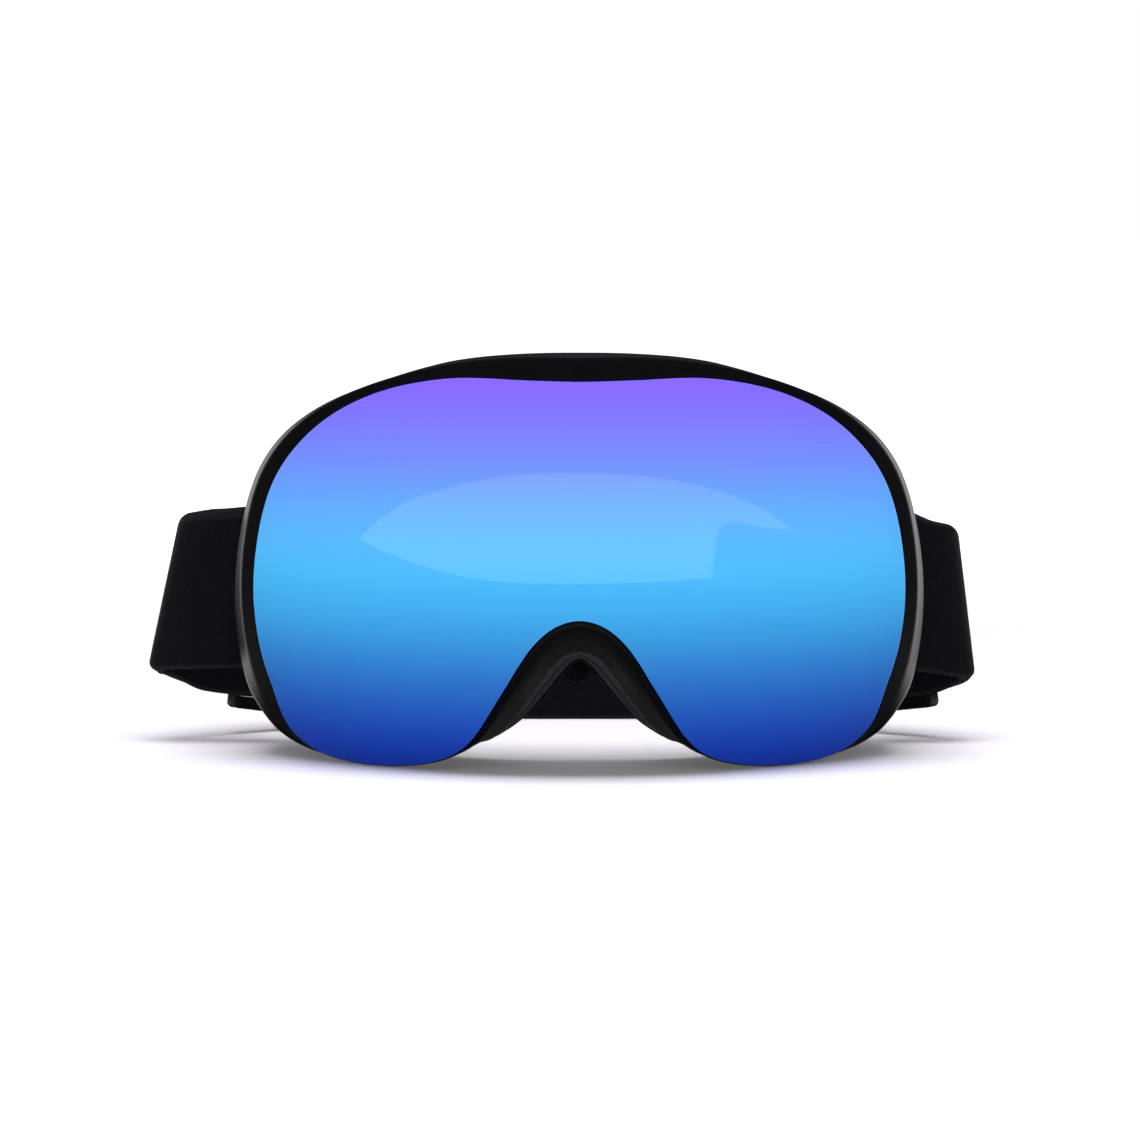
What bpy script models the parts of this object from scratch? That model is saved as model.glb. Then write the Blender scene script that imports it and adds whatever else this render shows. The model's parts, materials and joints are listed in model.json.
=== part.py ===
"""Frameless ski goggles with a spherical double lens and an elastic head strap.

The goggles stand on their lower rim and on the strap's rear lower edge. +Z is up, the lens
faces -Y, and the origin is the middle of the strap's rear lower edge. Lengths are in mm in
the constants and tables below, and become metres in the meshes.
"""
import math

import bmesh
import bpy
from mathutils import Matrix, Vector

MM = 0.001
GAP = 0.3                      # between neighbouring solids

# lens: every pane is part of a sphere round one centre
SPHERE_CENTRE = Vector((0.0, -26.0, 50.0))
LENS_RADIUS = 102.0            # outer face of the outer pane
OUTER_LENS_THICKNESS = 1.6
SPACER_THICKNESS = 2.4
SPACER_WIDTH = 5.0
INNER_LENS_THICKNESS = 1.0
CARRIER_THICKNESS = 1.7
CARRIER_WIDTH = 6.0
LENS_CLEARANCE = 0.45          # between the lens edge and the frame's rim
LENS_RINGS = (0.0, 0.3, 0.6, 0.85, 1.0)
LENS_HUB = (41.0, 50.0)        # middle of one half of the lens, x and z

# snap tabs of the lens carrier: station on the outline, in table rows
TAB_STATIONS = (2.0, 8.0, 15.9)
TAB_WIDTH = 6.0
TAB_THICKNESS = 1.5
TAB_LENGTH = 5.4
TAB_INSET = 3.2
TAB_CLEARANCE = 0.45

# frame
FRONT_SEAT_THICKNESS = 1.8
FRAME_WALL = 2.0
FLANGE_THICKNESS = 1.8
VENT_LENGTH = 9.0
VENT_HEIGHT = 3.4
TOP_VENT_STATIONS = (0.75, 1.55, 2.35, 3.15)
BOTTOM_VENT_STATIONS = (12.6, 13.5, 14.4)
VENT_FOAM_THICKNESS = 1.8
VENT_FOAM_START = 0.16         # past the wall's bend, as a share of the way to the back edge

# foam layers, as shares of the way from the frame's back edge to the face
FOAM_BASE_END = 0.45
FOAM_MID_END = 0.88

# outrigger: the hinged arm that holds the strap on each side
PIN_X = 79.5
PIN_Y = -60.5
PIN_RADIUS = 1.4
PIN_HOLE_RADIUS = 1.75
HINGE_Z = 39.3
BARREL_RADIUS = 2.7
BARREL_HALF_HEIGHT = 13.5
EAR_HEIGHT = 3.6
EAR_RADIUS = 3.2
BAR_X = 82.0
BAR_Y = -50.0
BAR_SIZE = 3.2
ARM_THICKNESS = 3.0
ARM_HALF_HEIGHT = 22.5
SLOT_HALF_HEIGHT = 21.0

# strap webbing
WEBBING_WIDTH = 40.5
WEBBING_THICKNESS = 1.8
LAYER_GAP = 0.5
LAYER_PITCH = WEBBING_THICKNESS + LAYER_GAP
BAR_CLEARANCE = 1.0            # between the outrigger's bar and the webbing round it
FOLD_LEAD = 1.5                # straight webbing at each end of the fold's own piece
RETURN_ANGLE = math.radians(34.5)
STRAIGHT_END = 66.0            # along the return run, from the end of the fold

# Each side's fold: reach, radius and heights of its lower and upper edge. Then the straight
# part of its return run: where it starts, its lower edge's height and slope, and its slider.
SIDES = {
    "left": {
        "sign": -1.0, "reach": (110.0, 101.6), "radius": (4.5, 6.5),
        "bar_z": (19.4, 59.9), "fold_start_z": (18.8, 59.4), "fold_end_z": (17.0, 56.4),
        "straight_start": 12.0, "straight_z": 11.8, "slope": math.radians(9.8), "slider_at": 32.0,
    },
    "right": {
        "sign": 1.0, "reach": (101.1, 96.4), "radius": (4.4, 6.2),
        "bar_z": (18.9, 59.4), "fold_start_z": (17.0, 56.6), "fold_end_z": (14.4, 53.2),
        "straight_start": 8.0, "straight_z": 11.3, "slope": math.radians(8.6), "slider_at": 19.5,
    },
}

# slider: a buckle whose end bars lie outside the webbing and whose middle bar lies inside it
SLIDER_HALF_LENGTH = 11.0
SLIDER_HALF_HEIGHT = 23.6
SLIDER_WINDOW = 21.0
SLIDER_BAR = 3.0
SLIDER_OUTER = 3.0
SLIDER_INNER = -3.3
SLIDER_PASSAGE = 1.25

# Half outline of the goggles, from the middle of the brow round the side to the nose.
# Each row: lens edge x, z; width of the rim beside it; radius at which the rim's face starts;
# widest line x, z, y; back edge x, z, y; face edge of the foam x, z, y; flange width.
OUTLINE = (
    ((0.0, 94.3), 5.6, 101.5, (0.0, 101.2, -107.0), (0.0, 94.5, -99.0), (0.0, 92.5, -84.0), 8.0),
    ((15.0, 94.7), 5.3, 101.5, (16.0, 100.7, -106.0), (15.0, 94.2, -98.6), (15.0, 92.2, -83.4), 8.0),
    ((30.0, 95.0), 3.5, 101.5, (31.6, 98.8, -103.5), (29.5, 92.8, -97.0), (29.0, 90.8, -81.4), 8.0),
    ((45.5, 92.3), 2.4, 101.5, (47.5, 93.8, -98.5), (43.0, 89.4, -93.2), (42.0, 87.4, -77.0), 8.0),
    ((58.4, 86.7), 2.7, 101.5, (61.3, 88.4, -92.0), (54.5, 83.6, -88.0), (53.0, 81.8, -71.0), 8.0),
    ((67.9, 78.9), 3.6, 101.5, (72.1, 81.2, -86.0), (63.5, 76.0, -81.4), (61.5, 74.2, -63.5), 8.5),
    ((74.6, 69.3), 3.8, 101.5, (79.4, 71.4, -81.0), (69.8, 66.8, -74.5), (67.5, 65.0, -55.5), 9.0),
    ((78.4, 57.0), 3.7, 101.5, (83.7, 57.9, -77.0), (73.8, 55.5, -67.6), (71.2, 54.5, -48.5), 9.0),
    ((80.0, 42.0), 3.6, 101.5, (85.9, 42.3, -73.5), (75.4, 42.0, -63.5), (72.6, 42.0, -44.5), 9.0),
    ((78.7, 28.5), 3.8, 101.5, (85.2, 26.7, -73.0), (74.2, 29.5, -63.5), (71.4, 30.5, -44.5), 9.0),
    ((75.6, 18.0), 3.9, 101.5, (82.2, 14.9, -75.0), (71.0, 19.5, -66.0), (68.2, 21.0, -48.0), 9.0),
    ((72.1, 8.6), 2.7, 101.2, (75.2, 6.4, -79.0), (65.8, 11.5, -71.0), (63.2, 13.5, -53.5), 8.5),
    ((65.6, 3.0), 1.3, 99.6, (66.6, 1.8, -83.0), (59.5, 6.8, -76.0), (57.0, 9.0, -60.0), 8.0),
    ((57.3, 0.7), 0.8, 99.2, (57.5, 0.3, -88.0), (52.0, 4.4, -80.8), (50.0, 6.6, -66.5), 8.0),
    ((48.0, 0.35), 0.7, 99.2, (48.0, 0.15, -93.0), (44.5, 3.6, -85.5), (43.0, 5.6, -72.0), 8.0),
    ((39.0, 1.3), 0.8, 99.2, (39.0, 0.7, -98.0), (37.3, 4.0, -90.2), (36.0, 5.6, -77.0), 7.5),
    ((31.1, 3.8), 1.0, 99.6, (30.8, 3.0, -103.0), (30.0, 4.9, -95.0), (28.8, 5.9, -81.0), 7.0),
    ((25.6, 8.6), 1.6, 100.8, (23.6, 7.4, -108.5), (22.4, 6.5, -99.6), (20.4, 6.4, -84.6), 6.5),
    ((20.8, 16.3), 2.0, 101.5, (17.6, 14.4, -113.5), (15.9, 12.6, -103.5), (13.6, 11.0, -86.2), 6.5),
    ((16.6, 23.4), 2.0, 101.5, (13.2, 21.2, -118.0), (11.2, 19.4, -106.5), (8.9, 15.7, -87.0), 6.5),
    ((11.8, 31.0), 2.0, 101.5, (9.0, 27.8, -120.5), (7.1, 25.1, -108.5), (5.1, 20.3, -87.4), 6.5),
    ((6.2, 36.2), 2.0, 101.5, (4.8, 31.9, -121.5), (3.7, 28.1, -109.2), (2.5, 23.5, -87.5), 6.5),
    ((0.0, 38.0), 2.0, 101.5, (0.0, 33.2, -122.0), (0.0, 29.1, -109.5), (0.0, 25.2, -87.5), 6.5),
)
STEPS_PER_ROW = 2

# nose tab of the foam
NOSE_TAB_RADIUS = 3.7
NOSE_TAB_HEIGHT = 7.6
NOSE_TAB_CENTRE = (-0.7, -85.8, 22.6)
NOSE_TAB_DEPTH = 2.2

COLOURS = {
    "lens": ((0.05, 0.25, 0.85), 0.08, 0.85),
    "clear": ((0.75, 0.80, 0.82), 0.05, 0.0),
    "gasket": ((0.05, 0.05, 0.05), 0.9, 0.0),
    "carrier": ((0.02, 0.02, 0.022), 0.35, 0.0),
    "frame": ((0.022, 0.022, 0.025), 0.42, 0.0),
    "foam": ((0.035, 0.035, 0.037), 0.95, 0.0),
    "fleece": ((0.025, 0.025, 0.027), 1.0, 0.0),
    "webbing": ((0.018, 0.018, 0.02), 0.85, 0.0),
    "buckle": ((0.02, 0.02, 0.022), 0.3, 0.0),
    "steel": ((0.55, 0.55, 0.57), 0.3, 1.0),
}


# ---------------------------------------------------------------- scene and small helpers

def clear_scene():
    for item in list(bpy.data.objects):
        bpy.data.objects.remove(item, do_unlink=True)


def new_collection(name):
    collection = bpy.data.collections.new(name)
    bpy.context.scene.collection.children.link(collection)
    return collection


def material(name, kind):
    colour, roughness, metallic = COLOURS[kind]
    result = bpy.data.materials.new(name)
    result.use_nodes = True
    shader = result.node_tree.nodes["Principled BSDF"]
    shader.inputs["Base Color"].default_value = (*colour, 1.0)
    shader.inputs["Roughness"].default_value = roughness
    shader.inputs["Metallic"].default_value = metallic
    return result


def add_object(name, mesh_data, collection, kind=None):
    """Put a bmesh, in metres, into the scene as an object with its own material."""
    bmesh.ops.recalc_face_normals(mesh_data, faces=mesh_data.faces[:])
    mesh = bpy.data.meshes.new(name)
    mesh_data.to_mesh(mesh)
    mesh_data.free()
    item = bpy.data.objects.new(name, mesh)
    collection.objects.link(item)
    if kind:
        mesh.materials.append(material(name, kind))
    return item


def as_cutter(item):
    item.hide_render = True
    item.display_type = "WIRE"
    return item


def add_mirror(item):
    modifier = item.modifiers.new("halves", "MIRROR")
    modifier.merge_threshold = 0.00005
    return modifier


def add_solidify(item, thickness, offset):
    modifier = item.modifiers.new("thickness", "SOLIDIFY")
    modifier.thickness = thickness * MM
    modifier.offset = offset
    modifier.use_even_offset = True
    return modifier


def add_bevel(item, width, segments=2):
    modifier = item.modifiers.new("rounded", "BEVEL")
    modifier.width = width * MM
    modifier.segments = segments
    modifier.limit_method = "ANGLE"
    return modifier


def add_boolean(item, operation, tools):
    modifier = item.modifiers.new(operation.lower(), "BOOLEAN")
    modifier.operation = operation
    modifier.operand_type = "COLLECTION"
    modifier.collection = tools
    modifier.solver = "EXACT"
    return modifier


def box(name, low, high, collection, matrix=Matrix(), kind=None):
    """A box between two corners in mm, placed by a matrix in metres."""
    data = bmesh.new()
    centre = (Vector(low) + Vector(high)) * 0.5 * MM
    size = (Vector(high) - Vector(low)) * MM
    bmesh.ops.create_cube(data, size=1.0)
    bmesh.ops.scale(data, vec=size, verts=data.verts)
    bmesh.ops.translate(data, vec=centre, verts=data.verts)
    item = add_object(name, data, collection, kind)
    item.matrix_world = matrix
    return item


def cylinder(name, radius, low, high, collection, matrix=Matrix(), kind=None, segments=24):
    """A cylinder along Z between two heights in mm, placed by a matrix in metres."""
    data = bmesh.new()
    bmesh.ops.create_cone(
        data, cap_ends=True, segments=segments, radius1=radius * MM, radius2=radius * MM,
        depth=(high - low) * MM)
    bmesh.ops.translate(data, vec=(0.0, 0.0, (low + high) * 0.5 * MM), verts=data.verts)
    item = add_object(name, data, collection, kind)
    item.matrix_world = matrix
    return item


def at(x, y, z, turn=0.0):
    """A matrix at a place in mm, turned about Z."""
    return Matrix.Translation(Vector((x, y, z)) * MM) @ Matrix.Rotation(turn, 4, "Z")


# ---------------------------------------------------------------- smooth curves

def spline(points, position):
    """Catmull-Rom curve through tuples of numbers; position counts in points."""
    last = len(points) - 1
    index = min(int(position), last - 1)
    t = position - index
    p1, p2 = points[index], points[index + 1]
    p0 = points[index - 1] if index > 0 else None
    p3 = points[index + 2] if index + 2 <= last else None
    result = []
    for axis in range(len(p1)):
        a, b = p1[axis], p2[axis]
        before = p0[axis] if p0 else 2 * a - b
        after = p3[axis] if p3 else 2 * b - a
        slope_a = (b - before) / 2
        slope_b = (after - a) / 2
        t2, t3 = t * t, t * t * t
        result.append(
            (2 * t3 - 3 * t2 + 1) * a + (t3 - 2 * t2 + t) * slope_a
            + (-2 * t3 + 3 * t2) * b + (t3 - t2) * slope_b)
    return result


def mirrored_rows():
    """The outline's rows with one more row at each end, reflected in the middle plane."""
    rows = [flat_row(row) for row in OUTLINE]
    return [reflected(rows[1])] + rows + [reflected(rows[-2])]


def flat_row(row):
    lens, rim, start, widest, back, face, width = row
    return (*lens, rim, start, *widest, *back, *face, width)


def reflected(row):
    mirrored_columns = (0, 4, 7, 10)
    return tuple(-value if column in mirrored_columns else value for column, value in enumerate(row))


ROWS = mirrored_rows()
LAST_STATION = len(OUTLINE) - 1


class Station:
    """One place on the half outline, with the points of the frame's and foam's sections."""

    def __init__(self, position):
        values = spline(ROWS, position + 1.0)
        self.lens = Vector((values[0], 0.0, values[1]))
        self.rim = values[2]
        self.start_radius = values[3]
        self.widest = Vector((values[4], values[6], values[5]))
        self.back = Vector((values[7], values[9], values[8]))
        self.face = Vector((values[10], values[12], values[11]))
        self.flange = values[13]
        self.out = outward(position, 0)
        self.back_out = outward(position, 7)
        self.face_out = outward(position, 10)
        if position == 0.0 or position == LAST_STATION:
            self.lens.x = self.widest.x = self.back.x = self.face.x = 0.0

    def on_sphere(self, offset, radius):
        """The point a given way outside the lens edge, on a sphere of a given radius."""
        place = self.lens + self.out * offset
        across = place - SPHERE_CENTRE
        across.y = 0.0
        depth = math.sqrt(LENS_RADIUS ** 2 - across.length_squared)
        ray = Vector((across.x, -depth, across.z))
        return SPHERE_CENTRE + ray * (radius / LENS_RADIUS)

    def wall(self, share, inset):
        """A point between the widest line and the back edge, a given way inside the wall."""
        return self.widest.lerp(self.back, share) - self.out * inset

    def foam(self, share, inset):
        """A point between the frame's back edge and the face, a given way in from its edge."""
        outward_way = self.back_out.lerp(self.face_out, share).normalized()
        return self.back.lerp(self.face, share) - outward_way * inset


def outward(position, column):
    """The direction out of an outline in the XZ plane; column is where its x is in a row."""
    z_column = column + 1
    step = 0.25
    if position <= 0.0:
        return Vector((0.0, 0.0, 1.0))
    if position >= LAST_STATION:
        return Vector((0.0, 0.0, -1.0))
    before = spline(ROWS, position + 1.0 - step)
    after = spline(ROWS, position + 1.0 + step)
    along = Vector((after[column] - before[column], 0.0, after[z_column] - before[z_column]))
    return Vector((-along.z, 0.0, along.x)).normalized()


def stations(first=0.0, last=LAST_STATION):
    count = round((last - first) * STEPS_PER_ROW)
    return [Station(first + (last - first) * i / count) for i in range(count + 1)]


def loft(sections, cap_first=False, cap_last=False):
    """Skin a row of closed sections, each a list of Vectors in mm, into a bmesh in metres."""
    data = bmesh.new()
    loops = [[data.verts.new(point * MM) for point in section] for section in sections]
    for loop_a, loop_b in zip(loops, loops[1:]):
        count = len(loop_a)
        for i in range(count):
            j = (i + 1) % count
            data.faces.new((loop_a[i], loop_a[j], loop_b[j], loop_b[i]))
    if cap_first:
        data.faces.new(loops[0])
    if cap_last:
        data.faces.new(loops[-1][::-1])
    return data


def ring(name, section, collection, kind, first=0.0, last=LAST_STATION):
    """A piece that follows the outline, modelled as one half and mirrored."""
    open_end = last == LAST_STATION
    data = loft([section(s) for s in stations(first, last)], cap_last=not open_end)
    item = add_object(name, data, collection, kind)
    add_mirror(item)
    return item


# ---------------------------------------------------------------- lens

def lens_pane(name, radius, thickness, inset, collection, kind):
    """A pane cut from a sphere: half of it as a fan of rings round its hub, then mirrored."""
    edge = [s.lens - s.out * inset for s in stations()]
    seam_steps = 5
    nose, brow = edge[-1], edge[0]
    seam = [nose.lerp(brow, i / seam_steps) for i in range(1, seam_steps)]
    hub = Vector((LENS_HUB[0], 0.0, LENS_HUB[1]))
    data = bmesh.new()
    loops = []
    for share in LENS_RINGS[1:]:
        places = [hub.lerp(point, share) for point in edge + seam]
        loops.append([data.verts.new(on_ball(place, radius) * MM) for place in places])
    middle = data.verts.new(on_ball(hub, radius) * MM)
    count = len(loops[0])
    for i in range(count):
        j = (i + 1) % count
        data.faces.new((middle, loops[0][i], loops[0][j]))
        for inner, outer in zip(loops, loops[1:]):
            data.faces.new((inner[i], outer[i], outer[j], inner[j]))
    for face in data.faces:
        face.normal_update()
        if face.normal.y > 0.0:
            face.normal_flip()
    mesh = bpy.data.meshes.new(name)
    data.to_mesh(mesh)
    data.free()
    item = bpy.data.objects.new(name, mesh)
    collection.objects.link(item)
    mesh.materials.append(material(name, kind))
    add_mirror(item)
    add_solidify(item, thickness, -1.0)
    return item


def on_ball(place, radius):
    """Carry a point of the outline's plane along its ray to a sphere of another radius."""
    across = place - SPHERE_CENTRE
    across.y = 0.0
    depth = math.sqrt(LENS_RADIUS ** 2 - across.length_squared)
    return SPHERE_CENTRE + Vector((across.x, -depth, across.z)) * (radius / LENS_RADIUS)


def spacer_radii():
    outer = LENS_RADIUS - OUTER_LENS_THICKNESS - GAP
    return outer, outer - SPACER_THICKNESS


def inner_lens_radius():
    return spacer_radii()[1] - GAP


def carrier_radii():
    outer = inner_lens_radius() - INNER_LENS_THICKNESS - GAP
    return outer, outer - CARRIER_THICKNESS


def seat_radii():
    outer = carrier_radii()[1] - GAP
    return outer, outer - FRONT_SEAT_THICKNESS


def sphere_band(inner_offset, outer_offset, radii):
    """A section between two offsets from the lens edge and two radii."""
    high, low = radii

    def section(s):
        return [
            s.on_sphere(inner_offset, high), s.on_sphere(outer_offset, high),
            s.on_sphere(outer_offset, low), s.on_sphere(inner_offset, low)]
    return section


def tab_box(name, station, sign, grow, collection):
    """A snap tab, or with some growth the slot that it passes through."""
    s = Station(station)
    middle = s.on_sphere(-TAB_INSET, carrier_radii()[1])
    turn = math.atan2(s.out.z, s.out.x)
    half_thickness = TAB_THICKNESS / 2 + grow
    half_width = TAB_WIDTH / 2 + grow
    front = -6.0 * grow
    back = TAB_LENGTH + grow
    rotation = Matrix.Rotation(-turn, 4, "Y")
    place = Matrix.Translation(middle * MM) @ rotation
    if sign < 0:
        flip = Matrix.Scale(-1.0, 4, Vector((1.0, 0.0, 0.0)))
        place = Matrix.Translation(flip @ (middle * MM)) @ Matrix.Rotation(math.pi + turn, 4, "Y")
    low = (-half_thickness, front, -half_width)
    high = (half_thickness, back, half_width)
    return as_cutter(box(name, low, high, collection, place))


def build_lens(parts, tools):
    lens_pane("outer_lens", LENS_RADIUS, OUTER_LENS_THICKNESS, 0.0, parts, "lens")
    ring("lens_spacer", sphere_band(-SPACER_WIDTH - 0.8, -0.8, spacer_radii()), parts, "gasket")
    lens_pane("inner_lens", inner_lens_radius(), INNER_LENS_THICKNESS, 0.4, parts, "clear")
    carrier = ring("lens_carrier", sphere_band(-CARRIER_WIDTH, -0.1, carrier_radii()), parts, "carrier")
    tabs = bpy.data.collections.new("carrier_tabs")
    tools.children.link(tabs)
    for number, station in enumerate(TAB_STATIONS):
        for sign in (-1, 1):
            tab_box(f"tab_{number}_{sign}", station, sign, 0.0, tabs)
    add_boolean(carrier, "UNION", tabs)


# ---------------------------------------------------------------- frame

def frame_section(s):
    """The frame's wall: rim, side wall, flange for the foam, and seat for the lens carrier."""
    seat_high, seat_low = seat_radii()
    rim_inner = s.on_sphere(LENS_CLEARANCE, s.start_radius)
    rim_outer = s.on_sphere(s.rim, s.start_radius + 0.3)
    seat_back_outer = s.on_sphere(LENS_CLEARANCE, seat_low)
    forward = Vector((0.0, -FLANGE_THICKNESS, 0.0))
    flange_inner = s.back - s.back_out * s.flange
    wall_foot = s.wall(flange_share(s, 0.0), FRAME_WALL)
    return [
        rim_inner, rim_outer, s.widest.copy(), s.back.copy(),
        flange_inner, flange_inner + forward, wall_foot,
        s.wall(wall_bend(s), FRAME_WALL), seat_back_outer,
        s.on_sphere(-CARRIER_WIDTH, seat_low), s.on_sphere(-CARRIER_WIDTH, seat_high),
        s.on_sphere(LENS_CLEARANCE, seat_high)]


def flange_share(s, clearance):
    """The share of the way from the widest line to the back edge where the flange begins."""
    depth = s.back.y - FLANGE_THICKNESS - clearance
    return (depth - s.widest.y) / (s.back.y - s.widest.y)


def wall_bend(s):
    """The share of the way from the widest line to the back edge where the inside turns back."""
    seat_back = s.on_sphere(LENS_CLEARANCE, seat_radii()[1])
    depth = seat_back.y + 2.0
    return max(0.0, (depth - s.widest.y) / (s.back.y - s.widest.y))


def vent_cutter(name, station, sign, collection):
    """A box through the middle of the wall, in line with the outline."""
    s = Station(station)
    middle = s.wall(0.5, FRAME_WALL / 2)
    along = Station(station + 0.1).wall(0.5, 0.0) - Station(station - 0.1).wall(0.5, 0.0)
    along.normalize()
    out = (s.out - along * s.out.dot(along)).normalized()
    for direction in (middle, along, out):
        direction.x *= sign
    place = Matrix((out, along.cross(out), along)).transposed().to_4x4()
    place.translation = middle * MM
    reach = 5.0
    low = (-reach, -VENT_HEIGHT / 2, -VENT_LENGTH / 2)
    high = (reach, VENT_HEIGHT / 2, VENT_LENGTH / 2)
    return as_cutter(box(name, low, high, collection, place))


def ear_tools(collection):
    """The ears on the frame's sides that hold the hinge pins."""
    low = BARREL_HALF_HEIGHT + GAP
    for sign in (-1, 1):
        for level in (-1, 1):
            bottom = HINGE_Z + (low if level > 0 else -low - EAR_HEIGHT)
            place = at(sign * PIN_X, PIN_Y, bottom)
            name = f"ear_{sign}_{level}"
            as_cutter(cylinder(name, EAR_RADIUS, 0.0, EAR_HEIGHT, collection, place))
            corner = (-EAR_RADIUS, -9.0, 0.0)
            opposite = (EAR_RADIUS, 0.0, EAR_HEIGHT)
            as_cutter(box(name + "_root", corner, opposite, collection, place))


def build_frame(parts, tools):
    frame = ring("main_frame", frame_section, parts, "frame")
    additions = bpy.data.collections.new("frame_additions")
    cuts = bpy.data.collections.new("frame_cuts")
    tools.children.link(additions)
    tools.children.link(cuts)
    ear_tools(additions)
    for sign in (-1, 1):
        for number, station in enumerate(TAB_STATIONS):
            tab_box(f"slot_{number}_{sign}", station, sign, TAB_CLEARANCE, cuts)
        for number, station in enumerate(TOP_VENT_STATIONS + BOTTOM_VENT_STATIONS):
            vent_cutter(f"vent_{number}_{sign}", station, sign, cuts)
        hole = cylinder(f"pin_hole_{sign}", PIN_HOLE_RADIUS, -20.0, 20.0, cuts,
                        at(sign * PIN_X, PIN_Y, HINGE_Z))
        as_cutter(hole)
    add_boolean(frame, "UNION", additions)
    add_boolean(frame, "DIFFERENCE", cuts)


def vent_foam_section(s):
    outer = FRAME_WALL + 0.8
    inner = outer + VENT_FOAM_THICKNESS
    front = wall_bend(s) + VENT_FOAM_START
    back = flange_share(s, 0.6)
    return [s.wall(front, outer), s.wall(back, outer), s.wall(back, inner), s.wall(front, inner)]


def build_vent_foams(parts):
    ring("top_vent_foam", vent_foam_section, parts, "foam", 0.0, 3.5)
    for side, values in SIDES.items():
        sections = [vent_foam_section(s) for s in stations(12.0, 15.0)]
        for section in sections:
            for point in section:
                point.x *= values["sign"]
        add_object(f"bottom_vent_foam_{side}", loft(sections, True, True), parts, "foam")


# ---------------------------------------------------------------- face foam

def foam_section(first, last, edge):
    """A layer between two shares of the way to the face, its width grown a little by edge."""
    def section(s):
        middle = (first + last) / 2
        return [
            s.foam(first, -edge), s.foam(middle, -edge - 0.5), s.foam(last, -edge),
            s.foam(last, s.flange), s.foam(first, s.flange)]
    return section


def build_foam(parts):
    thin = 0.03                # share of the foam's depth left free between the layers
    ring("face_foam_base", foam_section(thin, FOAM_BASE_END, 0.0), parts, "foam")
    ring("face_foam_mid", foam_section(FOAM_BASE_END + thin, FOAM_MID_END, 0.0), parts, "foam")
    ring("face_fleece", foam_section(FOAM_MID_END + thin, 1.0, 0.3), parts, "fleece")
    build_nose_tab(parts)


def build_nose_tab(parts):
    """A pad with a round lower end, over the top of the foam's nose arch."""
    data = bmesh.new()
    steps = 10
    half = NOSE_TAB_DEPTH / 2
    rim = [math.pi + math.pi * i / steps for i in range(steps + 1)]
    loops = []
    for y in (-half, half):
        points = [(NOSE_TAB_RADIUS * math.cos(a), y, NOSE_TAB_RADIUS * math.sin(a)) for a in rim]
        top = NOSE_TAB_HEIGHT - NOSE_TAB_RADIUS
        points += [(NOSE_TAB_RADIUS * 0.8, y, top), (-NOSE_TAB_RADIUS * 0.8, y, top)]
        loops.append([data.verts.new((Vector(p) + Vector(NOSE_TAB_CENTRE)) * MM) for p in points])
    face = data.faces.new(loops[0])
    back = data.faces.new(loops[1][::-1])
    bmesh.ops.bridge_loops(data, edges=list(face.edges) + list(back.edges))
    item = add_object("nose_tab", data, parts, "foam")
    add_bevel(item, 0.4)


# ---------------------------------------------------------------- outriggers

def arm_turn(sign):
    return -sign * math.atan2(BAR_X - PIN_X, BAR_Y - PIN_Y)


def build_outrigger(side, sign, parts, tools):
    """A hinged arm with a slot for the webbing; its origin is on the hinge pin's axis."""
    place = at(sign * PIN_X, PIN_Y, HINGE_Z, arm_turn(sign))
    length = math.hypot(BAR_X - PIN_X, BAR_Y - PIN_Y)
    end = length + BAR_SIZE / 2
    half = ARM_THICKNESS / 2
    arm = box(f"{side}_outrigger", (-half, 1.0, -ARM_HALF_HEIGHT), (half, end, ARM_HALF_HEIGHT),
              parts, place, "buckle")
    add_bevel(arm, 1.1)
    joined = bpy.data.collections.new(f"{side}_outrigger_barrel")
    cuts = bpy.data.collections.new(f"{side}_outrigger_cuts")
    tools.children.link(joined)
    tools.children.link(cuts)
    as_cutter(cylinder(f"{side}_barrel", BARREL_RADIUS, -BARREL_HALF_HEIGHT, BARREL_HALF_HEIGHT,
                       joined, place))
    slot_start = 3.9
    slot_end = length - BAR_SIZE / 2
    as_cutter(box(f"{side}_slot", (-5.0, slot_start, -SLOT_HALF_HEIGHT),
                  (5.0, slot_end, SLOT_HALF_HEIGHT), cuts, place))
    as_cutter(cylinder(f"{side}_barrel_hole", PIN_HOLE_RADIUS, -20.0, 20.0, cuts, place))
    clear_ears(side, place, cuts)
    add_boolean(arm, "UNION", joined)
    add_boolean(arm, "DIFFERENCE", cuts)


def clear_ears(side, place, cuts):
    """Notches beside the barrel, where the frame's ears are."""
    reach = EAR_RADIUS + 0.6
    for level in (-1, 1):
        inner = BARREL_HALF_HEIGHT * level
        outer = 30.0 * level
        low = (-5.0, -5.0, min(inner, outer))
        high = (5.0, reach, max(inner, outer))
        as_cutter(box(f"{side}_notch_{level}", low, high, cuts, place))


def build_pin(side, sign, parts):
    half = BARREL_HALF_HEIGHT + GAP + EAR_HEIGHT
    cylinder(f"{side}_hinge_pin", PIN_RADIUS, -half, half, parts,
             at(sign * PIN_X, PIN_Y, HINGE_Z), "steel")


# ---------------------------------------------------------------- strap

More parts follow.
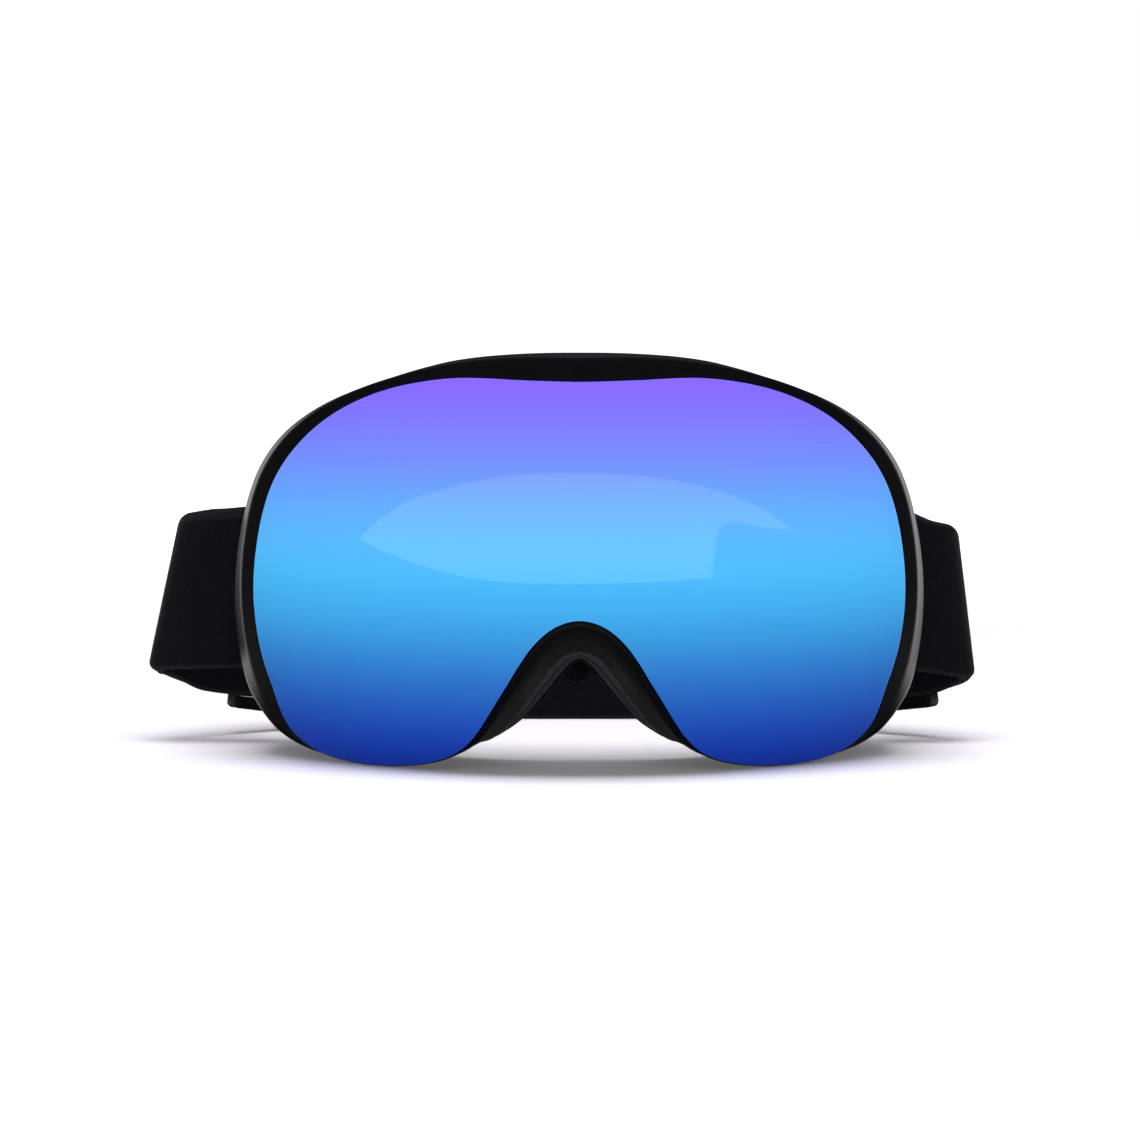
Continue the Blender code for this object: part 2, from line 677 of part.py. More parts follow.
class StrapSide:
    """The webbing's path on one side: rows of a lower and an upper point, in mm, for +X."""

    def __init__(self, values):
        self.values = values
        self.along = Vector((-math.cos(RETURN_ANGLE), math.sin(RETURN_ANGLE), 0.0))

    def front_row(self, x, depth):
        """A row on the front run; depth moves it back from the outer layer."""
        share = (x - BAR_X) / (self.fold_centre(0).x - BAR_X)
        points = []
        for edge in (0, 1):
            end = self.fold_start(edge)
            start_z = self.values["bar_z"][edge]
            end_z = self.values["fold_start_z"][edge]
            place_x = BAR_X + (end.x - BAR_X) * share
            place_y = self.front_y() + (end.y - self.front_y()) * share
            points.append(Vector((place_x, place_y + depth, start_z + (end_z - start_z) * share)))
        return points

    @staticmethod
    def front_y():
        return BAR_Y - BAR_SIZE / 2 - BAR_CLEARANCE - WEBBING_THICKNESS / 2

    def fold_centre(self, edge):
        radius = self.values["radius"][edge]
        setback = (0.5, 0.9)[edge]
        return Vector((self.values["reach"][edge] - WEBBING_THICKNESS / 2 - radius,
                       self.front_y() + setback + radius, 0.0))

    def fold_start(self, edge):
        centre = self.fold_centre(edge)
        return centre - Vector((0.0, self.values["radius"][edge], 0.0))

    def front_rows(self):
        """Rows of the outer layer from the outrigger's bar to the start of the fold."""
        far = self.fold_centre(0).x
        return [self.front_row(BAR_X + (far - BAR_X) * share, 0.0) for share in (0.0, 0.5, 1.0)]

    def fold_rows(self, steps=7):
        """Rows round the fold, from the front run to the return run."""
        rows = []
        turn = math.pi - RETURN_ANGLE
        for step in range(steps + 1):
            share = step / steps
            angle = -math.pi / 2 + turn * share
            row = []
            for edge in (0, 1):
                radius = self.values["radius"][edge]
                point = self.fold_centre(edge)
                point.x += radius * math.cos(angle)
                point.y += radius * math.sin(angle)
                start = self.values["fold_start_z"][edge]
                point.z = start + (self.values["fold_end_z"][edge] - start) * share
                row.append(point)
            rows.append(row)
        return rows

    def run_row(self, distance):
        """A row on the straight part of the return run."""
        slope = self.values["slope"]
        start = self.fold_rows()[-1][0]
        low = start + self.along * distance
        beyond_start = distance - self.values["straight_start"]
        low.z = self.values["straight_z"] - beyond_start * math.tan(slope)
        lean = self.along * math.sin(slope) + Vector((0.0, 0.0, math.cos(slope)))
        return [low, low + lean * WEBBING_WIDTH]

    def run_direction(self):
        slope = self.values["slope"]
        return self.along * math.cos(slope) - Vector((0.0, 0.0, math.sin(slope)))

    def joining_rows(self):
        """Rows from the end of the fold to the start of the straight part."""
        first = self.values["straight_start"]
        around = [self.fold_rows()[-2], self.fold_rows()[-1]]
        return smooth_rows(around + [self.run_row(first), self.run_row(first + 8.0)])

    def back_rows(self):
        """Rows from the fold's end to the middle of the strap's back."""
        return self.joining_rows() + [self.run_row(STRAIGHT_END)] + self.bend_rows()

    def bend_rows(self, steps=8):
        """Rows from the straight part into the flat middle of the back."""
        start = self.run_row(STRAIGHT_END)
        tangent = -start[0].y / math.sin(RETURN_ANGLE)
        end_x = start[0].x - tangent * (math.cos(RETURN_ANGLE) + 1.0)
        rows = []
        for step in range(1, steps + 1):
            t = step / steps
            row = []
            for edge in (0, 1):
                reach = -start[edge].y / math.sin(RETURN_ANGLE)
                corner = start[edge] + self.along * reach
                corner.z -= reach * math.tan(self.values["slope"])
                end = Vector((end_x, 0.0, edge * WEBBING_WIDTH))
                row.append(start[edge] * (1 - t) ** 2 + corner * 2 * t * (1 - t) + end * t * t)
            rows.append(row)
        return rows


def smooth_rows(rows, steps=3):
    """Rows between the second and third of four, on a smooth curve, with both ends."""
    result = []
    for step in range(steps + 1):
        row = []
        for edge in (0, 1):
            span = (rows[2][edge] - rows[1][edge]).length
            start_way = (rows[1][edge] - rows[0][edge]).normalized() * span
            end_way = (rows[3][edge] - rows[2][edge]).normalized() * span
            t = step / steps
            t2, t3 = t * t, t * t * t
            row.append(
                rows[1][edge] * (2 * t3 - 3 * t2 + 1) + start_way * (t3 - 2 * t2 + t)
                + rows[2][edge] * (3 * t2 - 2 * t3) + end_way * (t3 - t2))
        result.append(row)
    return result


def row_normal(rows, index):
    """The direction out of the webbing's outer face at a row."""
    before = rows[max(index - 1, 0)]
    after = rows[min(index + 1, len(rows) - 1)]
    along = (after[0] + after[1]) - (before[0] + before[1])
    across = rows[index][1] - rows[index][0]
    return along.cross(across).normalized()


def shifted(rows, distance):
    """Rows moved out of the webbing's outer face by a distance in mm."""
    result = []
    for index, row in enumerate(rows):
        shift = row_normal(rows, index) * distance
        result.append([row[0] + shift, row[1] + shift])
    return result


def towards(row, other, length):
    """A row moved towards another one by a length in mm, on both edges."""
    return [point + (aim - point).normalized() * length for point, aim in zip(row, other)]


def trimmed(rows, start=0.0, end=0.0):
    """Rows whose first and last one are moved in along the path by a length in mm."""
    first = towards(rows[0], rows[1], start)
    last = towards(rows[-1], rows[-2], end)
    return [first] + rows[1:-1] + [last]


def ribbon(name, rows, sign, collection, thickness=WEBBING_THICKNESS):
    """A band of webbing along rows; sign mirrors it to the left side."""
    data = bmesh.new()
    lines = []
    for row in rows:
        line = []
        for point in row:
            line.append(data.verts.new(Vector((point.x * sign, point.y, point.z)) * MM))
        lines.append(line)
    for line_a, line_b in zip(lines, lines[1:]):
        data.faces.new((line_a[0], line_b[0], line_b[1], line_a[1]))
    item = add_object(name, data, collection, "webbing")
    add_solidify(item, thickness, 0.0)
    return item


def build_strap_front(side, strap, sign, parts):
    """The doubled run from the fold round the outrigger's bar and back to the fold."""
    outer = strap.front_rows()[::-1]
    radius = BAR_Y - StrapSide.front_y()
    steps = 6
    turn_rows = []
    for step in range(1, steps):
        angle = -math.pi / 2 - math.pi * step / steps
        row = strap.front_row(BAR_X, 0.0)
        for point in row:
            point.x = BAR_X + radius * math.cos(angle)
            point.y = BAR_Y + radius * math.sin(angle)
        turn_rows.append(row)
    run = strap.fold_centre(0).x - BAR_X
    spread = ((0.0, 2 * radius), (0.3, radius + LAYER_PITCH), (0.6, LAYER_PITCH + 0.3), (1.0, LAYER_PITCH))
    inner = [strap.front_row(BAR_X + run * share, depth) for share, depth in spread]
    trim = FOLD_LEAD + GAP
    ribbon(f"{side}_strap_front", trimmed(outer + turn_rows + inner, trim, trim), sign, parts)


def build_strap_fold(side, strap, sign, parts):
    """Both layers of webbing where they fold back behind the goggles, as one band."""
    fold = strap.fold_rows()
    lead_in = towards(fold[0], strap.front_rows()[-2], FOLD_LEAD)
    lead_out = towards(fold[-1], strap.joining_rows()[1], FOLD_LEAD)
    rows = shifted([lead_in] + fold + [lead_out], -LAYER_PITCH / 2)
    ribbon(f"{side}_strap_fold", rows, sign, parts, LAYER_PITCH + WEBBING_THICKNESS)


def build_strap_tail(side, strap, sign, parts):
    """The inner layer from the fold to the slider's middle bar, where its end is sewn."""
    end = strap.run_row(strap.values["slider_at"] - SLIDER_BAR / 2 - 0.7)
    rows = shifted(trimmed(strap.joining_rows() + [end], FOLD_LEAD + GAP), -LAYER_PITCH)
    ribbon(f"{side}_strap_tail", rows, sign, parts)


def build_strap_back(parts):
    """The outer layer from one fold round the back of the head to the other."""
    halves = []
    for side in ("right", "left"):
        rows = trimmed(StrapSide(SIDES[side]).back_rows(), FOLD_LEAD + GAP)
        mirror = Vector((SIDES[side]["sign"], 1.0, 1.0))
        halves.append([[point * mirror for point in row] for row in rows])
    ribbon("strap_back", halves[0] + halves[1][::-1], 1.0, parts)


def slider_matrix(strap, sign):
    """The slider's place on the webbing: X along it, Y out of it, Z across it."""
    low, high = strap.run_row(strap.values["slider_at"])
    middle = (low + high) * 0.5
    along = strap.run_direction()
    across = (high - low).normalized()
    out = along.cross(across)
    mirror = Vector((sign, 1.0, 1.0))
    middle, across, out = middle * mirror, across * mirror, out * mirror
    matrix = Matrix((out.cross(across), out, across)).transposed().to_4x4()
    matrix.translation = middle * MM
    return matrix


def build_slider(side, strap, sign, parts, tools):
    """A buckle: two end bars outside the webbing and a middle bar inside it."""
    place = slider_matrix(strap, sign)
    long, high = SLIDER_HALF_LENGTH, SLIDER_HALF_HEIGHT
    window = SLIDER_WINDOW
    far = 20.0
    slider = box(f"{side}_slider", (-long, SLIDER_INNER, -high), (long, SLIDER_OUTER, high),
                 parts, place, "buckle")
    add_bevel(slider, 1.2)
    cuts = bpy.data.collections.new(f"{side}_slider_cuts")
    tools.children.link(cuts)
    half_bar = SLIDER_BAR / 2
    spans = {
        "passage": ((-far, -SLIDER_PASSAGE, -window), (far, SLIDER_PASSAGE, window)),
        "inside_a": ((-far, -far, -window), (-half_bar, 0.0, window)),
        "inside_b": ((half_bar, -far, -window), (far, 0.0, window)),
        "outside": ((-long + SLIDER_BAR, 0.0, -window), (long - SLIDER_BAR, far, window)),
    }
    for name, (low_corner, high_corner) in spans.items():
        as_cutter(box(f"{side}_{name}", low_corner, high_corner, cuts, place))
    add_boolean(slider, "DIFFERENCE", cuts)


# ---------------------------------------------------------------- the whole object

def main():
    clear_scene()
    parts = new_collection("ski_goggles")
    tools = new_collection("cutters")
    build_lens(parts, tools)
    build_frame(parts, tools)
    build_vent_foams(parts)
    build_foam(parts)
    build_strap_back(parts)
    for side, values in SIDES.items():
        sign = values["sign"]
        strap = StrapSide(values)
        build_outrigger(side, sign, parts, tools)
        build_pin(side, sign, parts)
        build_strap_front(side, strap, sign, parts)
        build_strap_fold(side, strap, sign, parts)
        build_strap_tail(side, strap, sign, parts)
        build_slider(side, strap, sign, parts, tools)


main()
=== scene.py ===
"""Looks of the ski goggles: smooth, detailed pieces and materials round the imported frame."""

import json
import math

import bmesh
import bpy
import numpy as np
from mathutils import Matrix, Vector

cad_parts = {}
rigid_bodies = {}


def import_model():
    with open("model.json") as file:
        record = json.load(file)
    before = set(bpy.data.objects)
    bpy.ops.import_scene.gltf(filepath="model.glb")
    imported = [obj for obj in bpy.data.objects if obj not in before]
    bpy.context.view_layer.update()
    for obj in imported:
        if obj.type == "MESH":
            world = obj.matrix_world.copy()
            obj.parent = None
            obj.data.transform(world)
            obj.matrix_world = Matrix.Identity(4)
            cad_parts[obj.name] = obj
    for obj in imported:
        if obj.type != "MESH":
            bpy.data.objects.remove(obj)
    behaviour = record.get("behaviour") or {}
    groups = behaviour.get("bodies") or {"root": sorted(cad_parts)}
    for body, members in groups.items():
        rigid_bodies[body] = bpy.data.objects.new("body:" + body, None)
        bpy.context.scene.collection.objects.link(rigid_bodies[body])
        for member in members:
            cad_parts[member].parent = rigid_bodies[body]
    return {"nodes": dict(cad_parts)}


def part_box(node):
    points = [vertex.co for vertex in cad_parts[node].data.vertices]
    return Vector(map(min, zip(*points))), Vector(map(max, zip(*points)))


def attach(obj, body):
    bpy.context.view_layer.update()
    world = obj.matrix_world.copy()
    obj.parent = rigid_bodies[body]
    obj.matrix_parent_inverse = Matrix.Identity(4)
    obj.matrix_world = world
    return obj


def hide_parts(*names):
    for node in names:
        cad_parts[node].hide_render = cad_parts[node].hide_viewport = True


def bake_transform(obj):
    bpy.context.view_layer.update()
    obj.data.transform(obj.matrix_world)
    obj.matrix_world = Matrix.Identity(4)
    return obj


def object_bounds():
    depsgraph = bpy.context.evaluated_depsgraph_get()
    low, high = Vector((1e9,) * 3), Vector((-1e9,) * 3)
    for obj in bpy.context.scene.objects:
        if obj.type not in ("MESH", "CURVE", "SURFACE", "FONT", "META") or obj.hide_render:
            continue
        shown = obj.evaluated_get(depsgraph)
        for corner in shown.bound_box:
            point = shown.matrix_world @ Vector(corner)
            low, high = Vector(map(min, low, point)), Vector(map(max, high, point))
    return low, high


SCENE = bpy.context.scene
for leftover in list(bpy.data.objects):
    bpy.data.objects.remove(leftover)
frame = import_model()
cad_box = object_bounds()

MM = 0.001
JOIN = 0.002 * MM              # corners closer than this are one corner
BROW_HEIGHT = 60 * MM          # above this, a corner in the middle plane is on the brow
RING_CREASE = math.radians(12)
LENS_CREASE = math.radians(40)
FAINT_CREASE = math.radians(1)
STRAIGHT = math.cos(math.radians(0.03))
RIBBON_CREASE = math.radians(50)
RING_STEPS = 4                 # points made between two of the frame's stations
SIDES = {"left": -1.0, "right": 1.0}
FRONT = (0.0, -1.0, 0.0)       # the direction that the lens faces

# a lens pane's rings of points, as shares of the way from the hub of each half to its edge
PANE_RINGS = np.concatenate([np.linspace(0.0, 0.9, 10)[1:], [0.97, 1.0]])
SEAM_POINTS = 24               # in the middle plane, between a pane's two halves
PANE_BEVEL = 0.22              # of its edges, as a share of its thickness
INNER_INSET = 0.4 * MM         # of the inner pane's edge from the outer pane's

# vents, counted along the outline in the frame's stations, two of them to a row
TOP_VENTS = (1.5, 3.1, 4.7, 6.3)
BOTTOM_VENTS = (25.2, 27.0, 28.8)
VENT_SIZE = (12 * MM, 3.4 * MM, 9.0 * MM)        # through the wall, from front to back, along it
VENT_CORNER = 1.3 * MM

# the carrier's snap tabs, counted in the same way, and the slots in the seat that they pass through
TABS = (4.0, 16.0, 31.8)
TAB_INSET = 3.2 * MM
SLOT_SIZE = (2.4 * MM, 8.55 * MM, 6.9 * MM)      # across the seat, from front to back, along it
SLOT_MIDDLE = 1.575 * MM                         # behind the carrier's back face
SLOT_CORNER = 0.4 * MM

# the frame's section, and its gaps to the lens unit and the foam
WALL = 2.0 * MM
WALL_FOOT = 1.6                # the wall where it meets the flange, as a share of WALL
WALL_BEND = (0.55, 0.45)       # of the widest line and of the back edge, in the wall's inner bend
FLANGE = 1.8 * MM
FLANGE_GAP = 0.75 * MM         # from the flange's back to the foam's front edges
LENS_CLEARANCE = 0.45 * MM
RIM_DROP = 0.5 * MM            # of the rim's inner edge behind the lens's face
SEAT_GAP = 0.4 * MM
SEAT_THICKNESS = 1.8 * MM
LUG_STEPS = 12                 # round the end of a hinge lug

COVER_FRAMES = 14              # of the cloth simulation that swells the fleece
COVER_SWELL = 1.2 * MM         # furthest a point of the fleece may move
GLUED_DEPTH = 0.5 * MM         # behind its front face, the fleece is free of the foam

# the webbing, its stitching, and the sliders on it
WEBBING_WIDTH = 40.5           # mm, like the webbing's UV map
SELVEDGE_STEPS = 6             # round a band's edge
FACE_STEPS = 12                # across a band's face
JOINT_GAP = 0.15 * MM          # by which a band goes on past the end of its node
FOLD_CORNER = 2.3 * MM
STITCH_ROWS = (2.2 * MM, 5.0 * MM)               # before the webbing's sewn end
STITCH_POINTS = 40             # of a zigzag row
STITCH_ZIG = 0.8 * MM
STITCH_MARGIN = 2.0            # mm, from a row's end to the webbing's edge
THREAD_RADIUS = 0.2 * MM
WINDOW_SPACE = 1.3 * MM        # most room between the webbing's edge and a slider's window
WINDOW_GAP = 0.2 * MM          # that room when the window is closed in
RIDGES = 9                     # on each end bar of a slider
RIDGE_PITCH = 4.0 * MM
RIDGE_INSET = 1.5 * MM         # from the slider's end
RIDGE_SIZE = (2.0 * MM, 0.9 * MM, 0.9 * MM)      # along the webbing, out of it and across it


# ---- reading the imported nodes

def joined(node):
    """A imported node's mesh with its split corners joined."""
    data = bmesh.new()
    data.from_mesh(frame["nodes"][node].data)
    bmesh.ops.remove_doubles(data, verts=data.verts[:], dist=JOIN)
    return data


def creases(data, angle):
    """Each corner's neighbours along the edges that are sharper than an angle."""
    found = {}
    for edge in data.edges:
        if edge.calc_face_angle(0.0) > angle:
            for corner in edge.verts:
                found.setdefault(corner, []).append(edge.other_vert(corner))
    return found


def walk(near, start, second, ends=()):
    """The places along a crease, going straight on at each corner, until it ends or closes."""
    path = [start, second]
    while path[-1] not in ends:
        here = path[-1]
        way = (here.co - path[-2].co).normalized()
        straight = [(way.dot((v.co - here.co).normalized()), v.index, v) for v in near[here]]
        best = max(straight)
        if best[0] < 0.5 or best[2] in path:     # turns by more than 60 degrees, or closes
            break
        path.append(best[2])
    return np.array([v.co for v in path])


def ring_loop(node, across, angle=RING_CREASE):
    """A crease that runs round the outline, from the brow towards +X, without the corners that
    only split a straight edge. Its corner in the middle plane is the furthest one along across,
    a direction (y, z)."""
    data = joined(node)
    near = creases(data, angle)
    brow = [v for v in near if abs(v.co.x) < JOIN and v.co.z > BROW_HEIGHT]
    start = max(brow, key=lambda v: v.co.y * across[0] + v.co.z * across[1])
    second = max(near[start], key=lambda v: (v.co - start.co).normalized().x)
    loop = walk(near, start, second)
    data.free()
    ways = unit(np.roll(loop, -1, 0) - loop)
    turns = (ways * np.roll(ways, 1, 0)).sum(1)
    return loop[turns < STRAIGHT]


def ring_before(node, loop):
    """The ring of corners next to a loop and in front of it, from the brow towards +X."""
    data = joined(node)
    corners = np.array([v.co for v in data.verts])
    data.verts.ensure_lookup_table()
    own = [data.verts[int(((corners - place) ** 2).sum(1).argmin())] for place in loop]
    pairs = [(v, edge.other_vert(v)) for v in own for edge in v.link_edges]
    before = {other for v, other in pairs if other.co.y < v.co.y} - set(own)
    near = {v: [edge.other_vert(v) for edge in v.link_edges] for v in before}
    near = {v: [other for other in near[v] if other in before] for v in near}
    start = max((v for v in before if abs(v.co.x) < JOIN), key=lambda v: v.co.z)
    path = walk(near, start, max(near[start], key=lambda v: v.co.x))
    data.free()
    return path


def ribbon_path(node, first=FRONT):
    """The middle of a ribbon's lower and upper edge, row by row, and its thickness. The first
    row is the end that lies furthest along first, a direction."""
    data = joined(node)
    near = creases(data, RIBBON_CREASE)
    caps = [v for v in near if len(near[v]) == 3]
    caps.sort(key=lambda v: v.co.dot(Vector(first)))
    corners = sorted(caps[-4:], key=lambda v: v.co.z)
    edges = [walk(near, c, next(n for n in near[c] if len(near[n]) == 2), caps) for c in corners]
    data.free()
    low, high = (edges[0] + edges[1]) / 2, (edges[2] + edges[3]) / 2
    thickness = np.linalg.norm(edges[0] - edges[1], axis=1).mean()
    return np.stack([low, high], 1), float(thickness)


# ---- curves and sections

def unit(vectors):
    return vectors / np.maximum(np.linalg.norm(vectors, axis=-1, keepdims=True), 1e-12)


def between(before, a, b, after, t):
    """A smooth curve's point between a and b."""
    return 0.5 * (
        2 * a + (b - before) * t + (2 * before - 5 * a + 4 * b - after) * t ** 2
        + (3 * a - before - 3 * b + after) * t ** 3)


def closed_curve(loop, steps=RING_STEPS):
    before, after, last = np.roll(loop, 1, 0), np.roll(loop, -1, 0), np.roll(loop, -2, 0)
    points = [between(before, loop, after, last, i / steps) for i in range(steps)]
    return np.stack(points, 1).reshape(-1, *loop.shape[1:])


def open_curve(rows, steps):
    padded = np.concatenate([[2 * rows[0] - rows[1]], rows, [2 * rows[-1] - rows[-2]]])
    points = []
    for i in range(len(rows) - 1):
        quad = padded[i:i + 4]
        points += [between(*quad, step / steps) for step in range(steps)]
    return np.array(points + [rows[-1]])


def evened(rows, spacing, passes):
    """Rows spread evenly along their middle line, and eased a few times between fixed ends."""
    middle = rows.mean(1)
    length = np.concatenate([[0.0], np.cumsum(np.linalg.norm(np.diff(middle, axis=0), axis=1))])
    wanted = np.linspace(0.0, length[-1], max(4, round(length[-1] / spacing)))
    flat = rows.reshape(len(rows), -1)
    even = np.stack([np.interp(wanted, length, column) for column in flat.T], 1)
    even = even.reshape(-1, *rows.shape[1:])
    for _ in range(passes):
        even[1:-1] = (even[:-2] + 2 * even[1:-1] + even[2:]) / 4
    return even


def ring(node, *across):
    return closed_curve(ring_loop(node, across))


def rounded(corners, reach, steps=3):
    """Closed sections whose corners are turned into short curves. reach is how far along its
    sides a corner's curve goes, one number or one for each corner."""
    count = corners.shape[1]
    reaches = np.broadcast_to(reach, count)
    columns = []
    for c in range(count):
        here, before, after = corners[:, c], corners[:, c - 1], corners[:, (c + 1) % count]
        ends = []
        for other in (before, after):
            length = np.linalg.norm(other - here, axis=1, keepdims=True)
            ends.append(here + unit(other - here) * np.minimum(reaches[c], 0.45 * length))
        for i in range(steps + 1):
            t = i / steps
            columns.append(ends[0] * (1 - t) ** 2 + here * 2 * t * (1 - t) + ends[1] * t ** 2)
    return np.stack(columns, 1)


def placed(name, data):
    """A new object in the scene."""
    item = bpy.data.objects.new(name, data)
    SCENE.collection.objects.link(item)
    return item


def as_mesh(name, data):
    """A mesh made of a bmesh, which is freed."""
    mesh = bpy.data.meshes.new(name)
    data.to_mesh(mesh)
    data.free()
    return mesh


def smooth(data):
    for face in data.faces:
        face.smooth = True


def evaluated(item):
    return item.evaluated_get(bpy.context.evaluated_depsgraph_get())


def skin(name, sections, closed=True, caps=False, uv=None):
    """An object whose surface runs through closed sections, an array of rows of points."""
    rows, columns = sections.shape[:2]
    i = np.arange(rows if closed else rows - 1)[:, None]
    j = np.arange(columns)[None, :]
    a, b = i * columns, ((i + 1) % rows) * columns
    k = (j + 1) % columns
    faces = np.stack(np.broadcast_arrays(a + j, b + j, b + k, a + k), -1).reshape(-1, 4).tolist()
    if caps:
        faces.append(list(range(columns)))
        faces.append(list(range(rows * columns - 1, (rows - 1) * columns - 1, -1)))
    mesh = bpy.data.meshes.new(name)
    mesh.from_pydata(sections.reshape(-1, 3).tolist(), [], faces)
    if uv is not None:
        layer = mesh.uv_layers.new(name="webbing")
        places = uv.reshape(-1, 2)
        corners = np.array([loop.vertex_index for loop in mesh.loops])
        layer.data.foreach_set("uv", places[corners].astype(np.float32).ravel())
    return finished(name, mesh)


def finished(name, mesh, weighted=True):
    """Link a mesh as a smooth-shaded object with its normals outwards."""
    data = bmesh.new()
    data.from_mesh(mesh)
    bmesh.ops.recalc_face_normals(data, faces=data.faces[:])
    smooth(data)
    data.to_mesh(mesh)
    data.free()
    item = placed(name, mesh)
    if weighted:
        item.modifiers.new("normals", "WEIGHTED_NORMAL").keep_sharp = True
    return item


def round_edges(item, width):
    """Round an object's sharp edges where it is evaluated."""
    rounding = item.modifiers.new("rounded", "BEVEL")
    rounding.width = width
    rounding.segments = 3
    rounding.limit_method = "ANGLE"
    rounding.angle_limit = math.radians(25)
    item.modifiers.new("normals", "WEIGHTED_NORMAL").keep_sharp = True


def refined(name, node, bevel):
    """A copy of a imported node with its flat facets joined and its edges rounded."""
    data = joined(node)
    flat = math.radians(2)
    bmesh.ops.dissolve_limit(data, angle_limit=flat, verts=data.verts[:], edges=data.edges[:])
    item = finished(name, as_mesh(name, data), weighted=False)
    round_edges(item, bevel)
    return item


def applied(item):
    """Turn an object's modifiers into its mesh."""
    result = bpy.data.meshes.new_from_object(evaluated(item))
    item.modifiers.clear()
    item.data = result
    return item


# ---- materials

def srgb(red, green, blue):
    """A colour given from 0 to 255 as the eye sees it, in linear values."""
    values = [channel / 255 for channel in (red, green, blue)]
    return (*(c / 12.92 if c <= 0.04045 else ((c + 0.055) / 1.055) ** 2.4 for c in values), 1.0)


MATERIALS = {}                 # by name; every Paint adds its own


class Paint:
    """A material with a Principled shader, and short ways to build its node tree."""

    def __init__(self, name, **values):
        self.material = MATERIALS[name] = bpy.data.materials.new(name)
        self.material.use_nodes = True
        self.tree = self.material.node_tree
        self.shader = self.tree.nodes["Principled BSDF"]
        for key, value in values.items():
            self.shader.inputs[key.replace("_", " ")].default_value = value

    def node(self, kind, inputs=None, **settings):
        made = self.tree.nodes.new("ShaderNode" + kind)
        for key, value in settings.items():
            setattr(made, key, value)
        for key, value in (inputs or {}).items():
            socket = made.inputs[key]
            if isinstance(value, bpy.types.NodeSocket):
                self.tree.links.new(value, socket)
            else:
                socket.default_value = value
        return made

    def math(self, operation, a, b=0.0, clamp=False):
        return self.node("Math", {0: a, 1: b}, operation=operation, use_clamp=clamp).outputs[0]

    def set(self, key, socket):
        self.tree.links.new(socket, self.shader.inputs[key])

    def place(self):
        return self.node("TexCoord").outputs["Object"]

    def noise(self, scale, detail=3.0, roughness=0.55, vector=None):
        made = self.node("TexNoise", {"Vector": vector or self.place(), "Scale": scale, "Detail": detail,
                                      "Roughness": roughness})
        return made.outputs["Fac"]

    def cells(self, scale):
        return self.node("TexVoronoi", {"Vector": self.place(), "Scale": scale}).outputs["Distance"]

    def ramp(self, factor, stops, interpolation="LINEAR"):
        made = self.node("ValToRGB", {"Fac": factor})
        ramp = made.color_ramp
        ramp.interpolation = interpolation
        while len(ramp.elements) < len(stops):
            ramp.elements.new(0.5)
        for element, (position, colour) in zip(ramp.elements, stops):
            element.position = position
            element.color = colour
        return made.outputs["Color"]

    def spread(self, factor, low, high):
        """Map 0 to 1 onto low to high."""
        return self.node("MapRange", {"Value": factor, "To Min": low, "To Max": high}).outputs["Result"]

    def height_share(self, low, high):
        """How high a place is, from 0 at low to 1 at high."""
        height = self.node("SeparateXYZ", {0: self.place()}).outputs["Z"]
        return self.node("MapRange", {"Value": height, "From Min": low, "From Max": high}).outputs[0]

    def bump(self, height, distance, strength=1.0, under=None):
        inputs = {"Height": height, "Distance": distance, "Strength": strength}
        if under is not None:
            inputs["Normal"] = under
        return self.node("Bump", inputs).outputs["Normal"]


def grey(value):
    return (value, value, value, 1.0)


# the coating's colours by height, partly its own and partly a painted reflection of the studio; the lens
# also glows with them as painted light
COATING_AND_PAINTED_REFLECTION_STOPS = [
    (0.00, srgb(8, 46, 158)), (0.10, srgb(22, 66, 174)), (0.22, srgb(42, 107, 192)),
    (0.33, srgb(54, 146, 214)), (0.45, srgb(70, 184, 244)), (0.55, srgb(82, 192, 252)),
    (0.68, srgb(98, 170, 252)), (0.78, srgb(112, 141, 252)), (0.90, srgb(122, 112, 248)),
    (1.00, srgb(128, 94, 242))]


def mirror_lens():
    """A mirror coating from violet at the brow to deep blue at the lobes, with painted reflection and
    glow.
    """
    low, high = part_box("outer_lens")
    paint = Paint("mirror_lens", Metallic=0.08, Coat_Weight=1.0, Coat_Roughness=0.01, Coat_IOR=1.5,
                  Emission_Strength=0.46)
    colour = paint.ramp(paint.height_share(low.z, high.z), COATING_AND_PAINTED_REFLECTION_STOPS, "B_SPLINE")
    dimmed = paint.node("VectorMath", {0: colour, "Scale": 0.82}, operation="SCALE")
    paint.set("Base Color", dimmed.outputs[0])
    # painted light: the lens glows with its colour, standing in for the light it reflects
    paint.set("Emission Color", colour)
    smear = paint.noise(25.0, 4.0)
    paint.set("Roughness", paint.spread(smear, 0.02, 0.06))


def lens_back():
    """The inside of the mirrored pane: a smoky tint and a painted glow, brighter at the top, for
    daylight.
    """
    low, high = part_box("outer_lens")
    paint = Paint("lens_back", Metallic=0.2, Coat_Weight=0.5, Coat_Roughness=0.03,
                  Emission_Strength=0.5)
    haze = paint.noise(40.0)
    paint.set("Base Color", paint.ramp(haze, [(0.3, srgb(44, 40, 40)), (0.7, srgb(56, 50, 50))]))
    paint.set("Roughness", paint.spread(haze, 0.05, 0.1))
    # painted light: a glow, brighter towards the top, in place of daylight seen through the lens
    painted_daylight_glow = [(0.0, srgb(52, 46, 52)), (0.5, srgb(96, 88, 92)), (1.0, srgb(112, 100, 108))]
    paint.set("Emission Color", paint.ramp(paint.height_share(low.z, high.z), painted_daylight_glow))


def clear_lens():
    """Thin clear plastic with faint smears."""
    paint = Paint("clear_lens", Roughness=0.03, IOR=1.5, Alpha=0.22, Base_Color=srgb(200, 210, 214),
                  Coat_Weight=0.6)
    smear = paint.noise(60.0, 4.0)
    paint.set("Roughness", paint.spread(smear, 0.02, 0.09))


